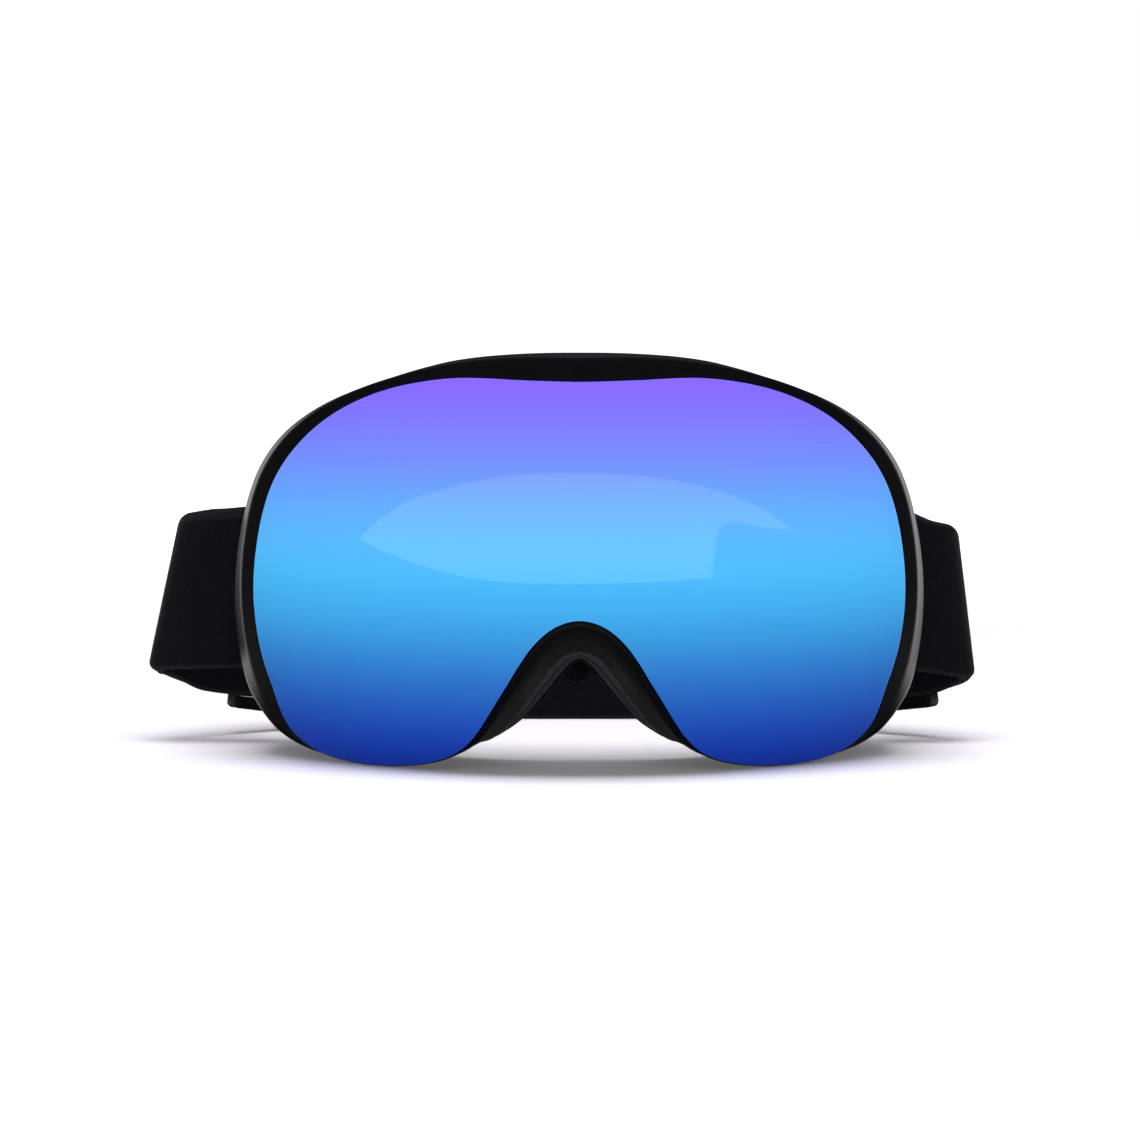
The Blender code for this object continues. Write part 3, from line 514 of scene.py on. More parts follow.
def moulded(name, colour, roughness, grain=1.0, gloss=0.25):
    """Moulded plastic: fine grain, faint flow marks, and edges polished by handling."""
    paint = Paint(name, Specular_IOR_Level=gloss)
    fine = paint.noise(2600.0, 2.0)
    flow = paint.noise(90.0, 4.0)
    edge = paint.node("NewGeometry").outputs["Pointiness"]
    worn = paint.ramp(edge, [(0.52, grey(0.0)), (0.60, grey(1.0))])
    tone = paint.math("MULTIPLY", paint.spread(flow, 0.8, 1.25), paint.spread(worn, 1.0, 1.5))
    toned = paint.node("VectorMath", {0: colour[:3], "Scale": tone}, operation="SCALE")
    paint.set("Base Color", toned.outputs[0])
    rough = paint.math("ADD", paint.spread(flow, roughness - 0.03, roughness + 0.03),
                       paint.math("MULTIPLY", worn, -0.06))
    paint.set("Roughness", rough)
    paint.set("Normal", paint.bump(fine, 0.03 * MM * grain, 0.6))


def open_foam(name, colour, pore):
    """Open-cell foam with painted shade in its pores; pore is the size of its cells."""
    paint = Paint(name, Roughness=0.95, Specular_IOR_Level=0.15, Sheen_Weight=0.15, Sheen_Roughness=0.5)
    cells = paint.cells(1.0 / pore)
    # painted shade: the pores are darkened where shade falls into them
    pore_shade_mask = paint.ramp(cells, [(0.15, grey(0.0)), (0.55, grey(1.0))])
    lump = paint.noise(180.0, 4.0)
    painted_pore_shade = (*(channel * 0.35 for channel in colour[:3]), 1.0)
    shade = paint.node("Mix", {6: painted_pore_shade, 7: colour}, data_type="RGBA")
    paint.tree.links.new(pore_shade_mask, shade.inputs[0])
    paint.set("Base Color", shade.outputs[2])
    under = paint.bump(lump, 0.35 * MM, 0.5)
    paint.set("Normal", paint.bump(cells, 0.25 * MM, 0.9, under))


def fleece_cloth():
    """Short pile in small tufts."""
    paint = Paint("fleece", Roughness=1.0, Specular_IOR_Level=0.1, Sheen_Weight=0.6, Sheen_Roughness=0.35,
                  Sheen_Tint=srgb(120, 120, 128))
    pile = paint.noise(1500.0, 6.0, 0.7)
    tufts = paint.noise(260.0, 3.0)
    mixed = paint.math("MULTIPLY", pile, tufts)
    paint.set("Base Color", paint.ramp(mixed, [(0.12, srgb(8, 8, 10)), (0.42, srgb(30, 30, 34))]))
    paint.set("Normal", paint.bump(pile, 0.25 * MM, 0.9, paint.bump(tufts, 0.4 * MM, 0.6)))


def webbing_cloth():
    """Woven elastic: ribs along the strap, crossed by short stitches that alternate, with painted shade
    between them.
    """
    rib, stitch = 0.5, 0.7     # mm, across and along
    paint = Paint("strap_webbing", Roughness=0.8, Specular_IOR_Level=0.18, Sheen_Weight=0.25,
                  Sheen_Roughness=0.4, Sheen_Tint=srgb(110, 112, 122))
    place = paint.node("SeparateXYZ", {0: paint.node("UVMap", uv_map="webbing").outputs[0]})
    along, across = place.outputs["X"], place.outputs["Y"]
    column = paint.math("DIVIDE", across, rib)
    odd = paint.math("MULTIPLY", paint.math("PINGPONG", paint.math("FLOOR", column), 1.0), 0.5)
    row = paint.math("ADD", paint.math("DIVIDE", along, stitch), odd)
    bulge_across = paint.math("SINE", paint.math("MULTIPLY", paint.math("FRACT", column), math.pi))
    bulge_along = paint.math("SINE", paint.math("MULTIPLY", paint.math("FRACT", row), math.pi))
    raised = paint.math("POWER", bulge_across, 0.6)
    weave = paint.math("MULTIPLY", raised, paint.math("POWER", bulge_along, 0.4))
    fibre = paint.noise(900.0, 5.0, 0.7)
    worn = paint.noise(35.0, 3.0)
    # painted shade: the colour is darker in the hollows between ribs and stitches and lighter on their
    # crowns
    tone = paint.math("MULTIPLY", weave, paint.spread(fibre, 0.6, 1.2))
    tone = paint.math("MULTIPLY", tone, paint.spread(worn, 0.85, 1.15))
    inwards = paint.math("PINGPONG", across, WEBBING_WIDTH / 2)
    edge = paint.ramp(paint.math("DIVIDE", inwards, 3.0), [(0.30, grey(1.0)), (0.42, grey(0.0))])
    tone = paint.math("ADD", tone, paint.math("MULTIPLY", edge, 0.35))
    shades = [(0.05, srgb(4, 4, 6)), (0.7, srgb(18, 18, 23)), (1.0, srgb(40, 40, 48))]
    paint.set("Base Color", paint.ramp(tone, shades))
    paint.set("Roughness", paint.spread(fibre, 0.7, 0.95))
    under = paint.bump(fibre, 0.05 * MM, 0.5)
    paint.set("Normal", paint.bump(weave, 0.1 * MM, 0.7, under))


def thread():
    """Sewing thread, twisted."""
    paint = Paint("thread", Roughness=0.7, Specular_IOR_Level=0.3)
    twist = paint.noise(1800.0, 3.0)
    paint.set("Base Color", paint.ramp(twist, [(0.3, srgb(26, 26, 30)), (0.7, srgb(52, 52, 58))]))


def steel():
    """Brushed steel."""
    paint = Paint("pin_steel", Metallic=1.0, Base_Color=srgb(170, 170, 175))
    brushed = paint.noise(1200.0, 3.0)
    paint.set("Roughness", paint.spread(brushed, 0.22, 0.42))


def gasket():
    """Fine, dense foam rubber."""
    paint = Paint("lens_gasket", Roughness=0.85, Specular_IOR_Level=0.2)
    cells = paint.noise(1800.0, 3.0)
    paint.set("Base Color", paint.ramp(cells, [(0.3, srgb(24, 24, 26)), (0.7, srgb(44, 44, 47))]))
    paint.set("Normal", paint.bump(cells, 0.06 * MM, 0.6))


mirror_lens()
lens_back()
clear_lens()
moulded("frame_plastic", srgb(10, 10, 14), 0.33, 0.8, 0.2)
moulded("carrier_plastic", srgb(14, 14, 16), 0.36)
moulded("outrigger_plastic", srgb(15, 15, 17), 0.34, 0.8)
moulded("slider_plastic", srgb(12, 12, 14), 0.48, 0.7, 0.15)
open_foam("foam_firm", srgb(24, 24, 27), 0.55 * MM)
open_foam("foam_soft", srgb(20, 20, 23), 0.45 * MM)
open_foam("vent_foam", srgb(20, 20, 23), 0.9 * MM)
fleece_cloth()
webbing_cloth()
thread()
steel()
gasket()


def dress(item, slot, body, *nodes, look=None):
    """Give a piece its material, its body and the nodes it stands for."""
    item.data.materials.clear()
    item.data.materials.append(MATERIALS[look or slot])
    if body:
        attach(item, body)
    if nodes:
        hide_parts(*nodes)
    return item


# ---- lens

def sphere_through(points):
    """The centre and radius of the sphere that a set of points lies on."""
    system = np.column_stack([2 * points, np.ones(len(points))])
    solution = np.linalg.lstsq(system, (points ** 2).sum(1), rcond=None)[0]
    return solution[:3], math.sqrt(solution[3] + (solution[:3] ** 2).sum())


LENS_RIM = ring_loop("outer_lens", (-1.0, 0.0), LENS_CREASE)
LENS_EDGE = closed_curve(LENS_RIM)
CENTRE, LENS_RADIUS = sphere_through(LENS_RIM)


def flat_outward(loop):
    """The direction out of a ring in the XZ plane at each of its points."""
    along = np.roll(loop, -1, 0) - np.roll(loop, 1, 0)
    return unit(np.column_stack([-along[:, 2], np.zeros(len(loop)), along[:, 0]]))


OUT = flat_outward(LENS_EDGE)


def on_ball(places, radius):
    """Places in the XZ plane carried onto the lens's sphere, then to another radius."""
    across = places - CENTRE
    across[..., 1] = 0.0
    depth = np.sqrt(LENS_RADIUS ** 2 - (across ** 2).sum(-1))
    across[..., 1] = -depth
    return CENTRE + across * (radius / LENS_RADIUS)


def pane(name, radius, thickness, inset):
    """A lens pane: rings of points round the hub of each half, on both faces, and a rounded
    edge between them."""
    half = len(LENS_EDGE) // 2
    hub_x = LENS_EDGE[:, 0].max() / 2
    hub_z = (LENS_EDGE[0, 2] + LENS_EDGE[half, 2]) / 2
    edge = (LENS_EDGE - OUT * inset)[:half + 1].copy()
    edge[[0, -1], 0] = 0.0
    seam = np.linspace(edge[-1], edge[0], SEAM_POINTS + 2)[1:-1]
    round_way = np.concatenate([edge, seam])
    hub = np.array([hub_x, 0.0, hub_z])
    data = bmesh.new()
    for level in (radius, radius - thickness):
        loops = []
        for share in PANE_RINGS:
            places = on_ball(hub + (round_way - hub) * share, level)
            loops.append([data.verts.new(p) for p in places])
        middle = data.verts.new(on_ball(hub.copy(), level))
        count = len(round_way)
        for i in range(count):
            j = (i + 1) % count
            data.faces.new((middle, loops[0][i], loops[0][j]))
            for inner, outer in zip(loops, loops[1:]):
                data.faces.new((inner[i], outer[i], outer[j], inner[j]))
    bmesh.ops.mirror(data, geom=data.verts[:] + data.edges[:] + data.faces[:],
                     merge_dist=JOIN, axis="X")
    bmesh.ops.remove_doubles(data, verts=data.verts[:], dist=JOIN)
    borders = [e for e in data.edges if e.is_boundary]
    bmesh.ops.bridge_loops(data, edges=borders)
    bmesh.ops.recalc_face_normals(data, faces=data.faces[:])
    rim = [e for e in data.edges if e.calc_face_angle(0.0) > math.radians(45)]
    bmesh.ops.bevel(data, geom=rim, offset=PANE_BEVEL * thickness, segments=2, affect="EDGES",
                    profile=0.5)
    centre = Vector(CENTRE)
    smooth(data)
    data.normal_update()
    normals = []
    for corner in data.verts:
        radial = corner.co - centre
        faces = [f for f in corner.link_faces if abs(radial.normalized().dot(f.normal)) > 0.97]
        if faces:
            radial *= math.copysign(1.0, radial.dot(faces[0].normal))
        normals.append(radial.normalized() if faces else corner.normal.copy())
    mesh = as_mesh(name, data)
    mesh.normals_split_custom_set_from_vertices(normals)
    item = placed(name, mesh)
    return item


def build_lens():
    outer_back = LENS_RADIUS - radius_of("outer_lens", lowest=True)
    outer = pane("mirrored_lens", LENS_RADIUS, outer_back, 0.0)
    dress(outer, "mirror_lens", "lens", "outer_lens")
    outer.data.materials.append(MATERIALS["lens_back"])
    for face in outer.data.polygons:             # those that look towards the sphere's centre
        if face.normal.dot(face.center - Vector(CENTRE)) < -0.5 * LENS_RADIUS:
            face.material_index = 1
    inner_top = radius_of("inner_lens", lowest=False)
    inner_back = inner_top - radius_of("inner_lens", lowest=True)
    inner = pane("clear_inner_lens", inner_top, inner_back, INNER_INSET)
    dress(inner, "clear_lens", "lens", "inner_lens")
    spacer = rounded(quad_ring("lens_spacer"), 0.3 * MM)
    dress(skin("spacer_gasket", spacer), "lens_gasket", "lens", "lens_spacer")
    carrier = refined("snap_carrier", "lens_carrier", 0.25 * MM)
    dress(carrier, "carrier_plastic", "lens", "lens_carrier")


def radius_of(node, lowest):
    """The distance of a pane's outer or inner face from the lens's centre."""
    points = np.array([v.co for v in frame["nodes"][node].data.vertices])
    distances = np.linalg.norm(points - CENTRE, axis=1)
    return float(distances.min() if lowest else distances.max())


def quad_ring(node):
    """The four long creases of a ring: front outer, back outer, back inner, front inner."""
    ways = ((-1.0, 1.0), (1.0, 1.0), (1.0, -1.0), (-1.0, -1.0))
    return np.stack([ring(node, *way) for way in ways], 1)


# ---- frame

def scaled_from_centre(points, change):
    """Points moved to or from the lens's centre by a length."""
    return points + unit(points - CENTRE) * change


def build_frame():
    rim_in = on_ball(LENS_EDGE + OUT * LENS_CLEARANCE, LENS_RADIUS - RIM_DROP)
    sides = ring_loop("main_frame", (0.0, 1.0), FAINT_CREASE)
    widest = closed_curve(sides)
    rim_out = closed_curve(ring_before("main_frame", sides))
    foam = quad_ring("face_foam_base")
    back, flange_in = foam[:, 0].copy(), foam[:, 3].copy()
    back[:, 1] -= FLANGE_GAP
    flange_in[:, 1] -= FLANGE_GAP
    carrier = quad_ring("lens_carrier")
    seat_out = scaled_from_centre(carrier[:, 1], -SEAT_GAP) + OUT * LENS_CLEARANCE
    seat_in = scaled_from_centre(carrier[:, 2], -SEAT_GAP)
    forward = np.array([0.0, -FLANGE, 0.0])
    foot = back - OUT * WALL * WALL_FOOT + forward
    middle = widest * WALL_BEND[0] + back * WALL_BEND[1] - OUT * WALL
    corners = np.stack([
        rim_in, rim_out, widest, back, flange_in, flange_in + forward, foot, middle,
        scaled_from_centre(seat_out, -SEAT_THICKNESS), scaled_from_centre(seat_in, -SEAT_THICKNESS),
        seat_in, seat_out], 1)
    # how far each of these corners is rounded
    reach = np.array([0.35, 1.0, 2.6, 0.9, 0.5, 0.5, 0.8, 0.8, 0.4, 0.4, 0.4, 0.1]) * MM
    shell = skin("goggle_frame", rounded(corners, reach, 4))
    cuts = bpy.data.collections.new("vent_cuts")
    for place, out, along in vent_places(widest, back):
        out = (out - along * out.dot(along)).normalized()
        axes = (out, along.cross(out), along)
        cuts.objects.link(cutter("vent_cut", place, axes, VENT_SIZE, VENT_CORNER))
    for place, out in slot_places(carrier[:, 1]):
        backward = -Vector(FRONT)
        axes = (out, backward, out.cross(backward))
        cuts.objects.link(cutter("slot_cut", place, axes, SLOT_SIZE, SLOT_CORNER))
    modifier = shell.modifiers.new("vents", "BOOLEAN")
    modifier.operation = "DIFFERENCE"
    modifier.operand_type = "COLLECTION"
    modifier.collection = cuts
    modifier.solver = "EXACT"
    shell.modifiers.move(len(shell.modifiers) - 1, 0)
    applied(shell)
    for used in list(cuts.objects):
        bpy.data.objects.remove(used)
    bpy.data.collections.remove(cuts)
    dress(shell, "frame_plastic", "frame", "main_frame")
    build_ears()


def vent_places(widest, back):
    """The middle of each vent on the wall, the direction out of the wall there, and along it."""
    stations = list(TOP_VENTS) + list(BOTTOM_VENTS)
    for station in stations:
        index = round(station * RING_STEPS)
        for number in (index, len(OUT) - index):
            place = (widest[number] + back[number]) / 2
            ahead = (widest[number + 2] + back[number + 2]) / 2
            yield Vector(place), Vector(OUT[number]), Vector(ahead - place).normalized()


def slot_places(carrier_back):
    """The middle of each slot for a snap tab, and the flat direction out of the lens there."""
    level = float(np.linalg.norm(carrier_back - CENTRE, axis=1).mean())
    for station in TABS:
        index, share = divmod(station * RING_STEPS, 1.0)
        near = [int(index), int(index) + 1]
        edge, out = ((pair[0] * (1 - share) + pair[1] * share) for pair in (LENS_EDGE[near], OUT[near]))
        out = unit(out)
        place = on_ball(edge - out * TAB_INSET, level) + np.array([0.0, SLOT_MIDDLE, 0.0])
        for sign in SIDES.values():
            flip = np.array([sign, 1.0, 1.0])
            yield Vector(place * flip), Vector(out * flip)


def cutter(name, place, axes, size, corner):
    """A box with rounded long edges, along its first axis, to cut an opening with."""
    data = bmesh.new()
    bmesh.ops.create_cube(data, size=1.0)
    bmesh.ops.scale(data, vec=size, verts=data.verts)
    sides = [e for e in data.edges if abs(e.verts[0].co.x - e.verts[1].co.x) > MM]
    bmesh.ops.bevel(data, geom=sides, offset=corner, segments=4, affect="EDGES", profile=0.5)
    turn = Matrix(axes).transposed().to_4x4()
    bmesh.ops.transform(data, matrix=Matrix.Translation(place) @ turn, verts=data.verts)
    return bpy.data.objects.new(name, as_mesh(name, data))


def build_ears():
    """The lugs on the frame's sides that hold the hinge pins."""
    radius, height, root = 3.2 * MM, 3.6 * MM, 9.0 * MM
    for side in SIDES:
        low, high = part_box(f"{side}_hinge_pin")
        x, y = (low.x + high.x) / 2, (low.y + high.y) / 2
        data = bmesh.new()
        for bottom in (low.z, high.z - height):
            outline = []
            for i in range(LUG_STEPS + 1):
                angle = math.pi * i / LUG_STEPS
                outline.append((x + radius * math.cos(angle), y + radius * math.sin(angle)))
            outline += [(x - radius, y - root), (x + radius, y - root)]
            lower = [data.verts.new((px, py, bottom)) for px, py in outline]
            upper = [data.verts.new((px, py, bottom + height)) for px, py in outline]
            data.faces.new(lower[::-1])
            data.faces.new(upper)
            for i in range(len(outline)):
                j = (i + 1) % len(outline)
                data.faces.new((lower[i], lower[j], upper[j], upper[i]))
        name = f"{side}_hinge_lugs"
        item = finished(name, as_mesh(name, data), weighted=False)
        round_edges(item, 0.5 * MM)
        dress(item, "frame_plastic", "frame")


# ---- foam

def pillow(corners, reach, crown):
    """Sections of a foam layer with round corners. crown is how far each side stands proud."""
    middle = corners.mean(1, keepdims=True)
    sides = (corners + np.roll(corners, -1, 1)) / 2
    crowned = sides + unit(sides - middle) * np.reshape(crown, (1, -1, 1))
    woven = np.stack([corners, crowned], 2).reshape(len(corners), -1, 3)
    reaches = np.column_stack([np.full(len(crown), reach), np.full(len(crown), 3 * reach)]).ravel()
    return rounded(woven, reaches, 3)


def inflated(item, glued):
    """Let a layer's cover swell under a light pressure while its glued side stays put, then
    keep the shape it settles into."""
    rest = np.array([v.co for v in item.data.vertices])
    group = item.vertex_groups.new(name="glued")
    group.add([i for i in range(len(rest)) if glued[i]], 1.0, "REPLACE")
    cloth = item.modifiers.new("cover", "CLOTH")
    cloth.settings.quality = 6
    cloth.settings.use_pressure = True
    cloth.settings.uniform_pressure_force = 3.0
    cloth.settings.vertex_group_mass = "glued"
    cloth.settings.effector_weights.gravity = 0.0
    cloth.collision_settings.use_collision = False
    cloth.point_cache.frame_end = COVER_FRAMES
    for number in range(1, COVER_FRAMES + 1):
        SCENE.frame_set(number)
    settled = evaluated(item).data
    places = np.array([v.co for v in settled.vertices])
    SCENE.frame_set(1)
    item.modifiers.remove(cloth)
    item.vertex_groups.clear()
    moved = places - rest
    length = np.linalg.norm(moved, axis=1, keepdims=True)
    places = rest + moved * np.minimum(1.0, COVER_SWELL / np.maximum(length, 1e-9))
    item.data.vertices.foreach_set("co", places.astype(np.float32).ravel())
    item.data.update()
    item.modifiers.new("smooth", "SUBSURF").levels = 1
    item.modifiers["smooth"].render_levels = 1
    return applied(item)


def build_foam():
    crown = np.array([0.5, 0.1, 0.3, 0.0]) * MM
    base = skin("face_foam_firm", pillow(quad_ring("face_foam_base"), 0.6 * MM, crown))
    dress(base, "foam_firm", "frame", "face_foam_base")
    crown = np.array([0.7, 0.1, 0.5, 0.0]) * MM
    mid = skin("face_foam_soft", pillow(quad_ring("face_foam_mid"), 0.8 * MM, crown))
    dress(mid, "foam_soft", "frame", "face_foam_mid")
    crown = np.array([0.3, 0.3, 0.3, 0.0]) * MM
    sections = pillow(quad_ring("face_fleece")[::2], 0.7 * MM, crown)
    front = sections[:, :, 1] - sections[:, :, 1].min(1, keepdims=True)
    fleece = skin("face_fleece_layer", sections)
    fleece.modifiers.clear()
    inflated(fleece, (front < GLUED_DEPTH).ravel())
    dress(fleece, "fleece", "frame", "face_fleece")
    tab = refined("nose_tab_pad", "nose_tab", 0.3 * MM)
    dress(tab, "foam_soft", "frame", "nose_tab")
    for name in ("top_vent_foam", "bottom_vent_foam_left", "bottom_vent_foam_right"):
        strip = refined(name + "_mesh", name, 0.2 * MM)
        dress(strip, "vent_foam", "frame", name)


# ---- strap

def round_fold(rows, radius):
    """Round off a folded band's corners: its edges draw in where the fold reaches furthest."""
    eased = rows.copy()
    for edge in (0, 1):
        reach = np.abs(rows[:, edge, 0])
        past = np.clip(reach - reach.max() + radius, 0.0, radius)
        inset = radius - np.sqrt(radius ** 2 - past ** 2)
        eased[:, edge] += unit(rows[:, 1 - edge] - rows[:, edge]) * inset[:, None]
    return eased


def webbing(name, path, thickness, spacing, passes, fold=None):
    """A band of webbing along a path, with round selvedges. fold is its fold's corner radius."""
    rows = evened(open_curve(path, 8), spacing, passes)
    if fold:
        rows = round_fold(rows, fold)
    low, high = rows[:, 0], rows[:, 1]
    across = unit(high - low)
    along = np.gradient(low + high, axis=0)
    out = unit(np.cross(along, across))
    centre = (low + high) / 2
    half = np.linalg.norm(high - low, axis=1, keepdims=True) / 2
    profile = []
    edge = thickness / 2
    for i in range(SELVEDGE_STEPS + 1):          # round the upper selvedge, then down the far face
        angle = math.pi / 2 - math.pi * i / SELVEDGE_STEPS
        profile.append((1.0, edge * (math.cos(angle) - 1.0), edge * math.sin(angle)))
    profile += [(1.0 - 2.0 * i / FACE_STEPS, 0.0, -edge) for i in range(1, FACE_STEPS)]
    profile += [(-share, -inward, -height) for share, inward, height in profile]
    columns, places = [], []
    length = np.concatenate([[0.0], np.cumsum(np.linalg.norm(np.diff(centre, axis=0), axis=1))])
    full = half.max()
    for share, inward, height in profile:
        sideways = half * share + inward
        columns.append(centre + across * sideways + out * height)
        places.append(np.column_stack([length, sideways[:, 0] * full / half[:, 0] + full]) / MM)
    return skin(name, np.stack(columns, 1), closed=False, caps=True, uv=np.stack(places, 1))


def stretched(path, start, end):
    """A path made longer at its first and last row by a length each."""
    first = path[0] + unit(path[0] - path[1]) * start
    last = path[-1] + unit(path[-1] - path[-2]) * end
    return np.concatenate([[first], path[1:-1], [last]])


def layers(path, pitch, near):
    """The two layers of a doubled band, the one that lies nearer to a place first."""
    across = unit(path[:, 1] - path[:, 0])
    out = unit(np.cross(np.gradient(path.sum(1), axis=0), across))[:, None] * pitch / 2
    pair = [path + out, path - out]
    return sorted(pair, key=lambda layer: np.linalg.norm(layer[0] - near))


def build_strap():
    back, layer = ribbon_path("strap_back", (1.0, 0.0, 0.0))
    piece = webbing("strap_back_band", stretched(back, JOINT_GAP, JOINT_GAP), layer,
                    spacing=2 * MM, passes=40)
    dress(piece, "strap_webbing", "frame", "strap_back")
    for side in SIDES:
        front, _ = ribbon_path(f"{side}_strap_front")
        fold, both = ribbon_path(f"{side}_strap_fold")
        outer, inner = layers(fold, both - layer, front[0])
        path = np.concatenate([outer[:0:-1], front, inner[1:]])
        piece = webbing(f"{side}_strap_loop_band", stretched(path, JOINT_GAP, JOINT_GAP), layer,
                        spacing=0.5 * MM, passes=4, fold=FOLD_CORNER)
        dress(piece, "strap_webbing", None, f"{side}_strap_front", f"{side}_strap_fold")
        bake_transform(piece)
        tail, _ = ribbon_path(f"{side}_strap_tail")
        piece = webbing(f"{side}_strap_tail_band", stretched(tail, JOINT_GAP, 0.0), layer,
                        spacing=1 * MM, passes=4)
        dress(piece, "strap_webbing", None, f"{side}_strap_tail")
        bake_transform(piece)


# ---- hardware

def slider_place(side):
    """A slider's place: its middle, and the directions along the webbing, out of it and across it."""
    tail, _ = ribbon_path(f"{side}_strap_tail")
    across = Vector(unit(tail[-1, 1] - tail[-1, 0]))
    along = Vector(unit(tail[-1].mean(0) - tail[-2].mean(0)))
    out = along.cross(across).normalized()
    if out.y < 0.0:
        out.negate()
    low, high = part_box(f"{side}_slider")
    return (low + high) / 2, along, out, across


def close_window(slider, side):
    """Bring the sides of a slider's window in towards the webbing's edges."""
    middle, _, _, across = slider_place(side)
    half = WEBBING_WIDTH / 2 * MM
    for corner in slider.data.vertices:
        away = (corner.co - middle).dot(across)
        if half < abs(away) < half + WINDOW_SPACE:
            corner.co += across * (math.copysign(half + WINDOW_GAP, away) - away)


def add_ridges(data, side):
    """Grip ridges across the outer face of a slider's two end bars."""
    middle, along, out, across = slider_place(side)
    face = max((corner.co - middle).dot(out) for corner in data.verts)
    reach = max((corner.co - middle).dot(along) for corner in data.verts)
    for end in (-1.0, 1.0):
        for number in range(RIDGES):
            sideways = (number - (RIDGES - 1) / 2) * RIDGE_PITCH
            place = middle + along * end * (reach - RIDGE_INSET) + out * face + across * sideways
            turn = Matrix((along, out, across)).transposed().to_4x4()
            size = Matrix.Diagonal((*RIDGE_SIZE, 1.0))
            bmesh.ops.create_icosphere(data, subdivisions=2, radius=0.5,
                                       matrix=Matrix.Translation(place) @ turn @ size)


def stitches(side, thickness):
    """Two zigzag rows of thread that sew the webbing's end round the slider's middle bar."""
    tail, _ = ribbon_path(f"{side}_strap_tail")
    _, along, out, across = slider_place(side)
    end = Vector(tail[-1].mean(0))
    curve = bpy.data.curves.new(f"{side}_stitching", "CURVE")
    curve.dimensions = "3D"
    curve.bevel_depth = THREAD_RADIUS
    curve.bevel_resolution = 1
    curve.use_fill_caps = True
    span = (WEBBING_WIDTH - 2 * STITCH_MARGIN) * MM
    for back in STITCH_ROWS:
        for face in (-1.0, 1.0):
            spline = curve.splines.new("POLY")
            spline.points.add(STITCH_POINTS - 1)
            for i, point in enumerate(spline.points):
                sideways = (i / (STITCH_POINTS - 1) - 0.5) * span
                zig = STITCH_ZIG * (1 if i % 2 else -1)
                place = end - along * (back + zig) + across * sideways + out * face * (thickness / 2)
                point.co = (*place, 1.0)
    holder = placed(f"{side}_stitching_curve", curve)
    mesh = bpy.data.meshes.new_from_object(evaluated(holder))
    bpy.data.objects.remove(holder)
    return finished(f"{side}_stitching", mesh, weighted=False)


def build_hardware():
    for side in SIDES:
        arm = refined(f"{side}_strap_arm", f"{side}_outrigger", 0.35 * MM)
        dress(arm, "outrigger_plastic", f"{side}_outrigger", f"{side}_outrigger")
        slider = refined(f"{side}_adjuster", f"{side}_slider", 0.45 * MM)
        close_window(slider, side)
        applied(slider)
        data = bmesh.new()
        data.from_mesh(slider.data)
        add_ridges(data, side)
        smooth(data)
        data.to_mesh(slider.data)
        data.free()
        dress(slider, "slider_plastic", f"{side}_slider", f"{side}_slider")
        _, thickness = ribbon_path(f"{side}_strap_tail")
        sewn = stitches(side, thickness)
        dress(sewn, "strap_webbing", f"{side}_slider", look="thread")
        pin = refined(f"{side}_pivot_pin", f"{side}_hinge_pin", 0.25 * MM)
        dress(pin, "pin_steel", "frame", f"{side}_hinge_pin")


# ---- stage, light and camera

FLOOR_REACH = 30.0
FLOOR_DROP = 0.05 * MM         # below the lowest point
FLOOR_GLOW = 0.1               # what the floor adds to the camera's view near the goggles
FLOOR_FADE = (0.25, 0.8)       # from the origin, where that starts to grow and where it is full
WORLD_DIFFUSE = 0.25
WORLD_GLOSSY = 0.05
LIT_PLACE = Vector((0.0, -0.08, 0.05))
CARD_DISTANCE = 1.6            # in front of the origin
CARD_GLOW = 0.62
LEAF_STEPS = 10                # from one point of the leaf's edge to the next

# the card's reflection, mm across and up the lens: its upper edge, its right end, its lower edge
LEAF_EDGES = (
    ((-51.6, 55.6), (-51.7, 57.6), (-40.6, 66.0), (-20.0, 71.8), (0.5, 72.9), (22.0, 71.2),
     (40.0, 65.7), (51.2, 58.7)),
    ((51.2, 58.7), (43.0, 59.6), (36.6, 61.0), (32.8, 58.6), (31.4, 47.9)),
    ((31.4, 47.9), (14.0, 47.2), (-16.0, 47.2), (-35.0, 49.9), (-51.6, 55.6)),
)

CAMERA_AIM = Vector((-2.3, -88.0, 46.97)) * MM
CAMERA_DISTANCE = 1047.3 * MM
CAMERA_ELEVATION = math.radians(4.7)


def unseen(item, **rays):
    """Hide an object from some kinds of ray."""
    for kind, seen in rays.items():
        setattr(item, "visible_" + kind, seen)
    return item


def build_floor():
    """A pale floor that turns into the white background away from the goggles."""
    mesh = bpy.data.meshes.new("floor")
    turns = ((-1, -1), (1, -1), (1, 1), (-1, 1))
    mesh.from_pydata([(x * FLOOR_REACH, y * FLOOR_REACH, 0.0) for x, y in turns], [], [(0, 1, 2, 3)])
    floor = placed("floor", mesh)
    floor.location.z = cad_box[0].z - FLOOR_DROP
    paint = Paint("floor", Roughness=0.7, Base_Color=(0.90, 0.87, 0.94, 1.0), Specular_IOR_Level=0.2,
                  Emission_Color=grey(1.0))
    away = paint.node("VectorMath", {0: paint.place()}, operation="LENGTH").outputs["Value"]
    start, full = FLOOR_FADE
    fade = paint.node("MapRange", {"Value": away, "From Min": start, "From Max": full,
                                   "To Min": FLOOR_GLOW, "To Max": 1.0},
                      interpolation_type="SMOOTHSTEP").outputs["Result"]
    seen = paint.node("LightPath").outputs["Is Camera Ray"]
    paint.set("Emission Strength", paint.math("MULTIPLY", fade, seen))
    mesh.materials.append(paint.material)
    unseen(floor, glossy=False)


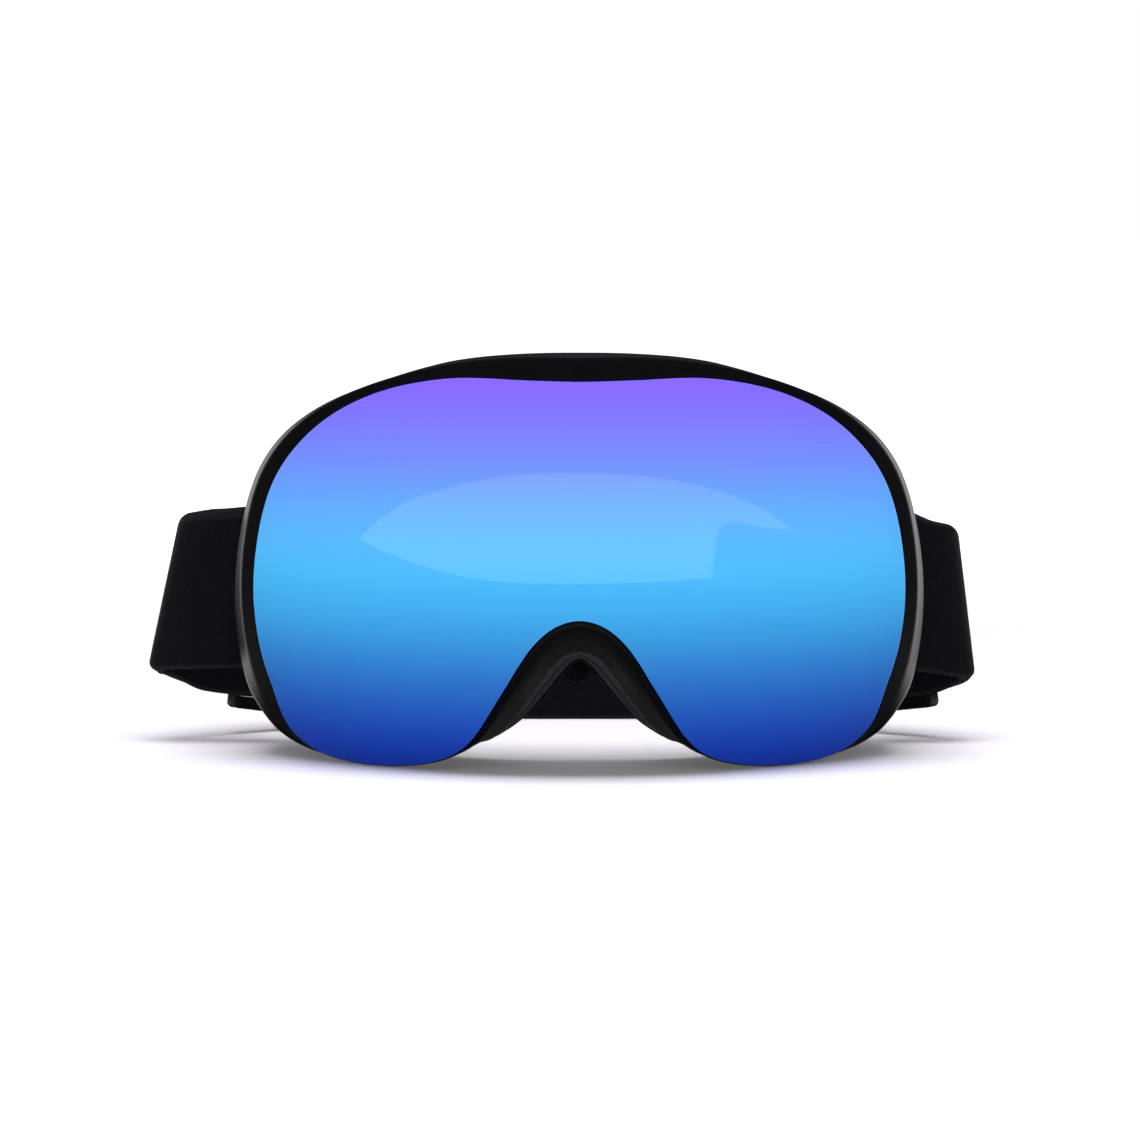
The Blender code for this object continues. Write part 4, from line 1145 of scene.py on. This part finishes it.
def build_world():
    """White to the camera, and softer as a light and in reflections."""
    world = bpy.data.worlds.new("studio")
    SCENE.world = world
    world.use_nodes = True
    tree = world.node_tree
    background = tree.nodes["Background"]
    path = tree.nodes.new("ShaderNodeLightPath")
    background.inputs["Color"].default_value = grey(1.0)
    strength = WORLD_DIFFUSE
    for kind, value in (("Is Glossy Ray", WORLD_GLOSSY), ("Is Camera Ray", 1.0)):
        chosen = tree.nodes.new("ShaderNodeMapRange")
        if isinstance(strength, float):
            chosen.inputs["To Min"].default_value = strength
        else:
            tree.links.new(strength, chosen.inputs["To Min"])
        chosen.inputs["To Max"].default_value = value
        tree.links.new(path.outputs[kind], chosen.inputs["Value"])
        strength = chosen.outputs["Result"]
    tree.links.new(strength, background.inputs["Strength"])


def area_light(name, place, size, radiance, mirrored, diffuse=True):
    """A soft box of a size and brightness that faces the goggles."""
    lamp = bpy.data.lights.new(name, "AREA")
    lamp.shape = "RECTANGLE"
    lamp.size, lamp.size_y = size
    lamp.energy = radiance * math.pi * size[0] * size[1]
    item = placed(name, lamp)
    item.location = place
    item.rotation_euler = (LIT_PLACE - Vector(place)).to_track_quat("-Z", "Y").to_euler()
    unseen(item, glossy=mirrored, diffuse=diffuse, camera=False)


def build_lights():
    area_light("overhead", place=(0.0, -0.2, 1.2), size=(1.0, 0.6), radiance=8.4, mirrored=False)
    area_light("front", place=(0.0, -1.3, 0.6), size=(1.4, 0.7), radiance=0.7, mirrored=False)
    area_light("top_rim", place=(0.0, 0.75, 0.95), size=(1.3, 0.5), radiance=0.25, mirrored=True)
    for side, sign in SIDES.items():
        area_light(f"{side}_rim", place=(sign * 0.75, 0.8, 0.08), size=(0.7, 1.0), radiance=1.5,
                   mirrored=True, diffuse=False)


def mirror_place(x, z, camera):
    """The place on the card that the camera sees mirrored in the lens at x and z, in mm."""
    place = on_ball(np.array([x, 0.0, z]) * MM, LENS_RADIUS)
    ray = unit(place - camera)
    out = unit(place - CENTRE)
    mirrored = ray - 2.0 * out * ray.dot(out)
    return place + mirrored * (-CARD_DISTANCE - place[1]) / mirrored[1]


def build_card():
    """The white card whose leaf-shaped reflection lies across the middle of the lens."""
    edges = []
    for edge in LEAF_EDGES:
        edges += open_curve(np.array(edge), LEAF_STEPS)[:-1].tolist()
    camera = np.array(SCENE.camera.location)
    mesh = bpy.data.meshes.new("leaf_card")
    mesh.from_pydata([mirror_place(x, z, camera).tolist() for x, z in edges], [],
                     [list(range(len(edges)))])
    card = placed("leaf_card", mesh)
    paint = Paint("leaf_card", Base_Color=grey(0.0), Specular_IOR_Level=0.0, Emission_Color=grey(1.0),
                  Emission_Strength=CARD_GLOW)
    mesh.materials.append(paint.material)
    unseen(card, camera=False, diffuse=False, transmission=False, volume_scatter=False, shadow=False)


def build_camera():
    data = bpy.data.cameras.new("camera")
    data.lens = 135.0
    data.sensor_width = 36.0
    item = placed("camera", data)
    back = Vector((0.0, -math.cos(CAMERA_ELEVATION), math.sin(CAMERA_ELEVATION)))
    item.location = CAMERA_AIM + back * CAMERA_DISTANCE
    item.rotation_euler = (-back).to_track_quat("-Z", "Y").to_euler()
    SCENE.camera = item
    SCENE.view_settings.view_transform = "Standard"
    SCENE.view_settings.look = "None"


build_camera()
build_lens()
build_frame()
build_foam()
build_strap()
build_hardware()
build_floor()
build_world()
build_lights()
build_card()
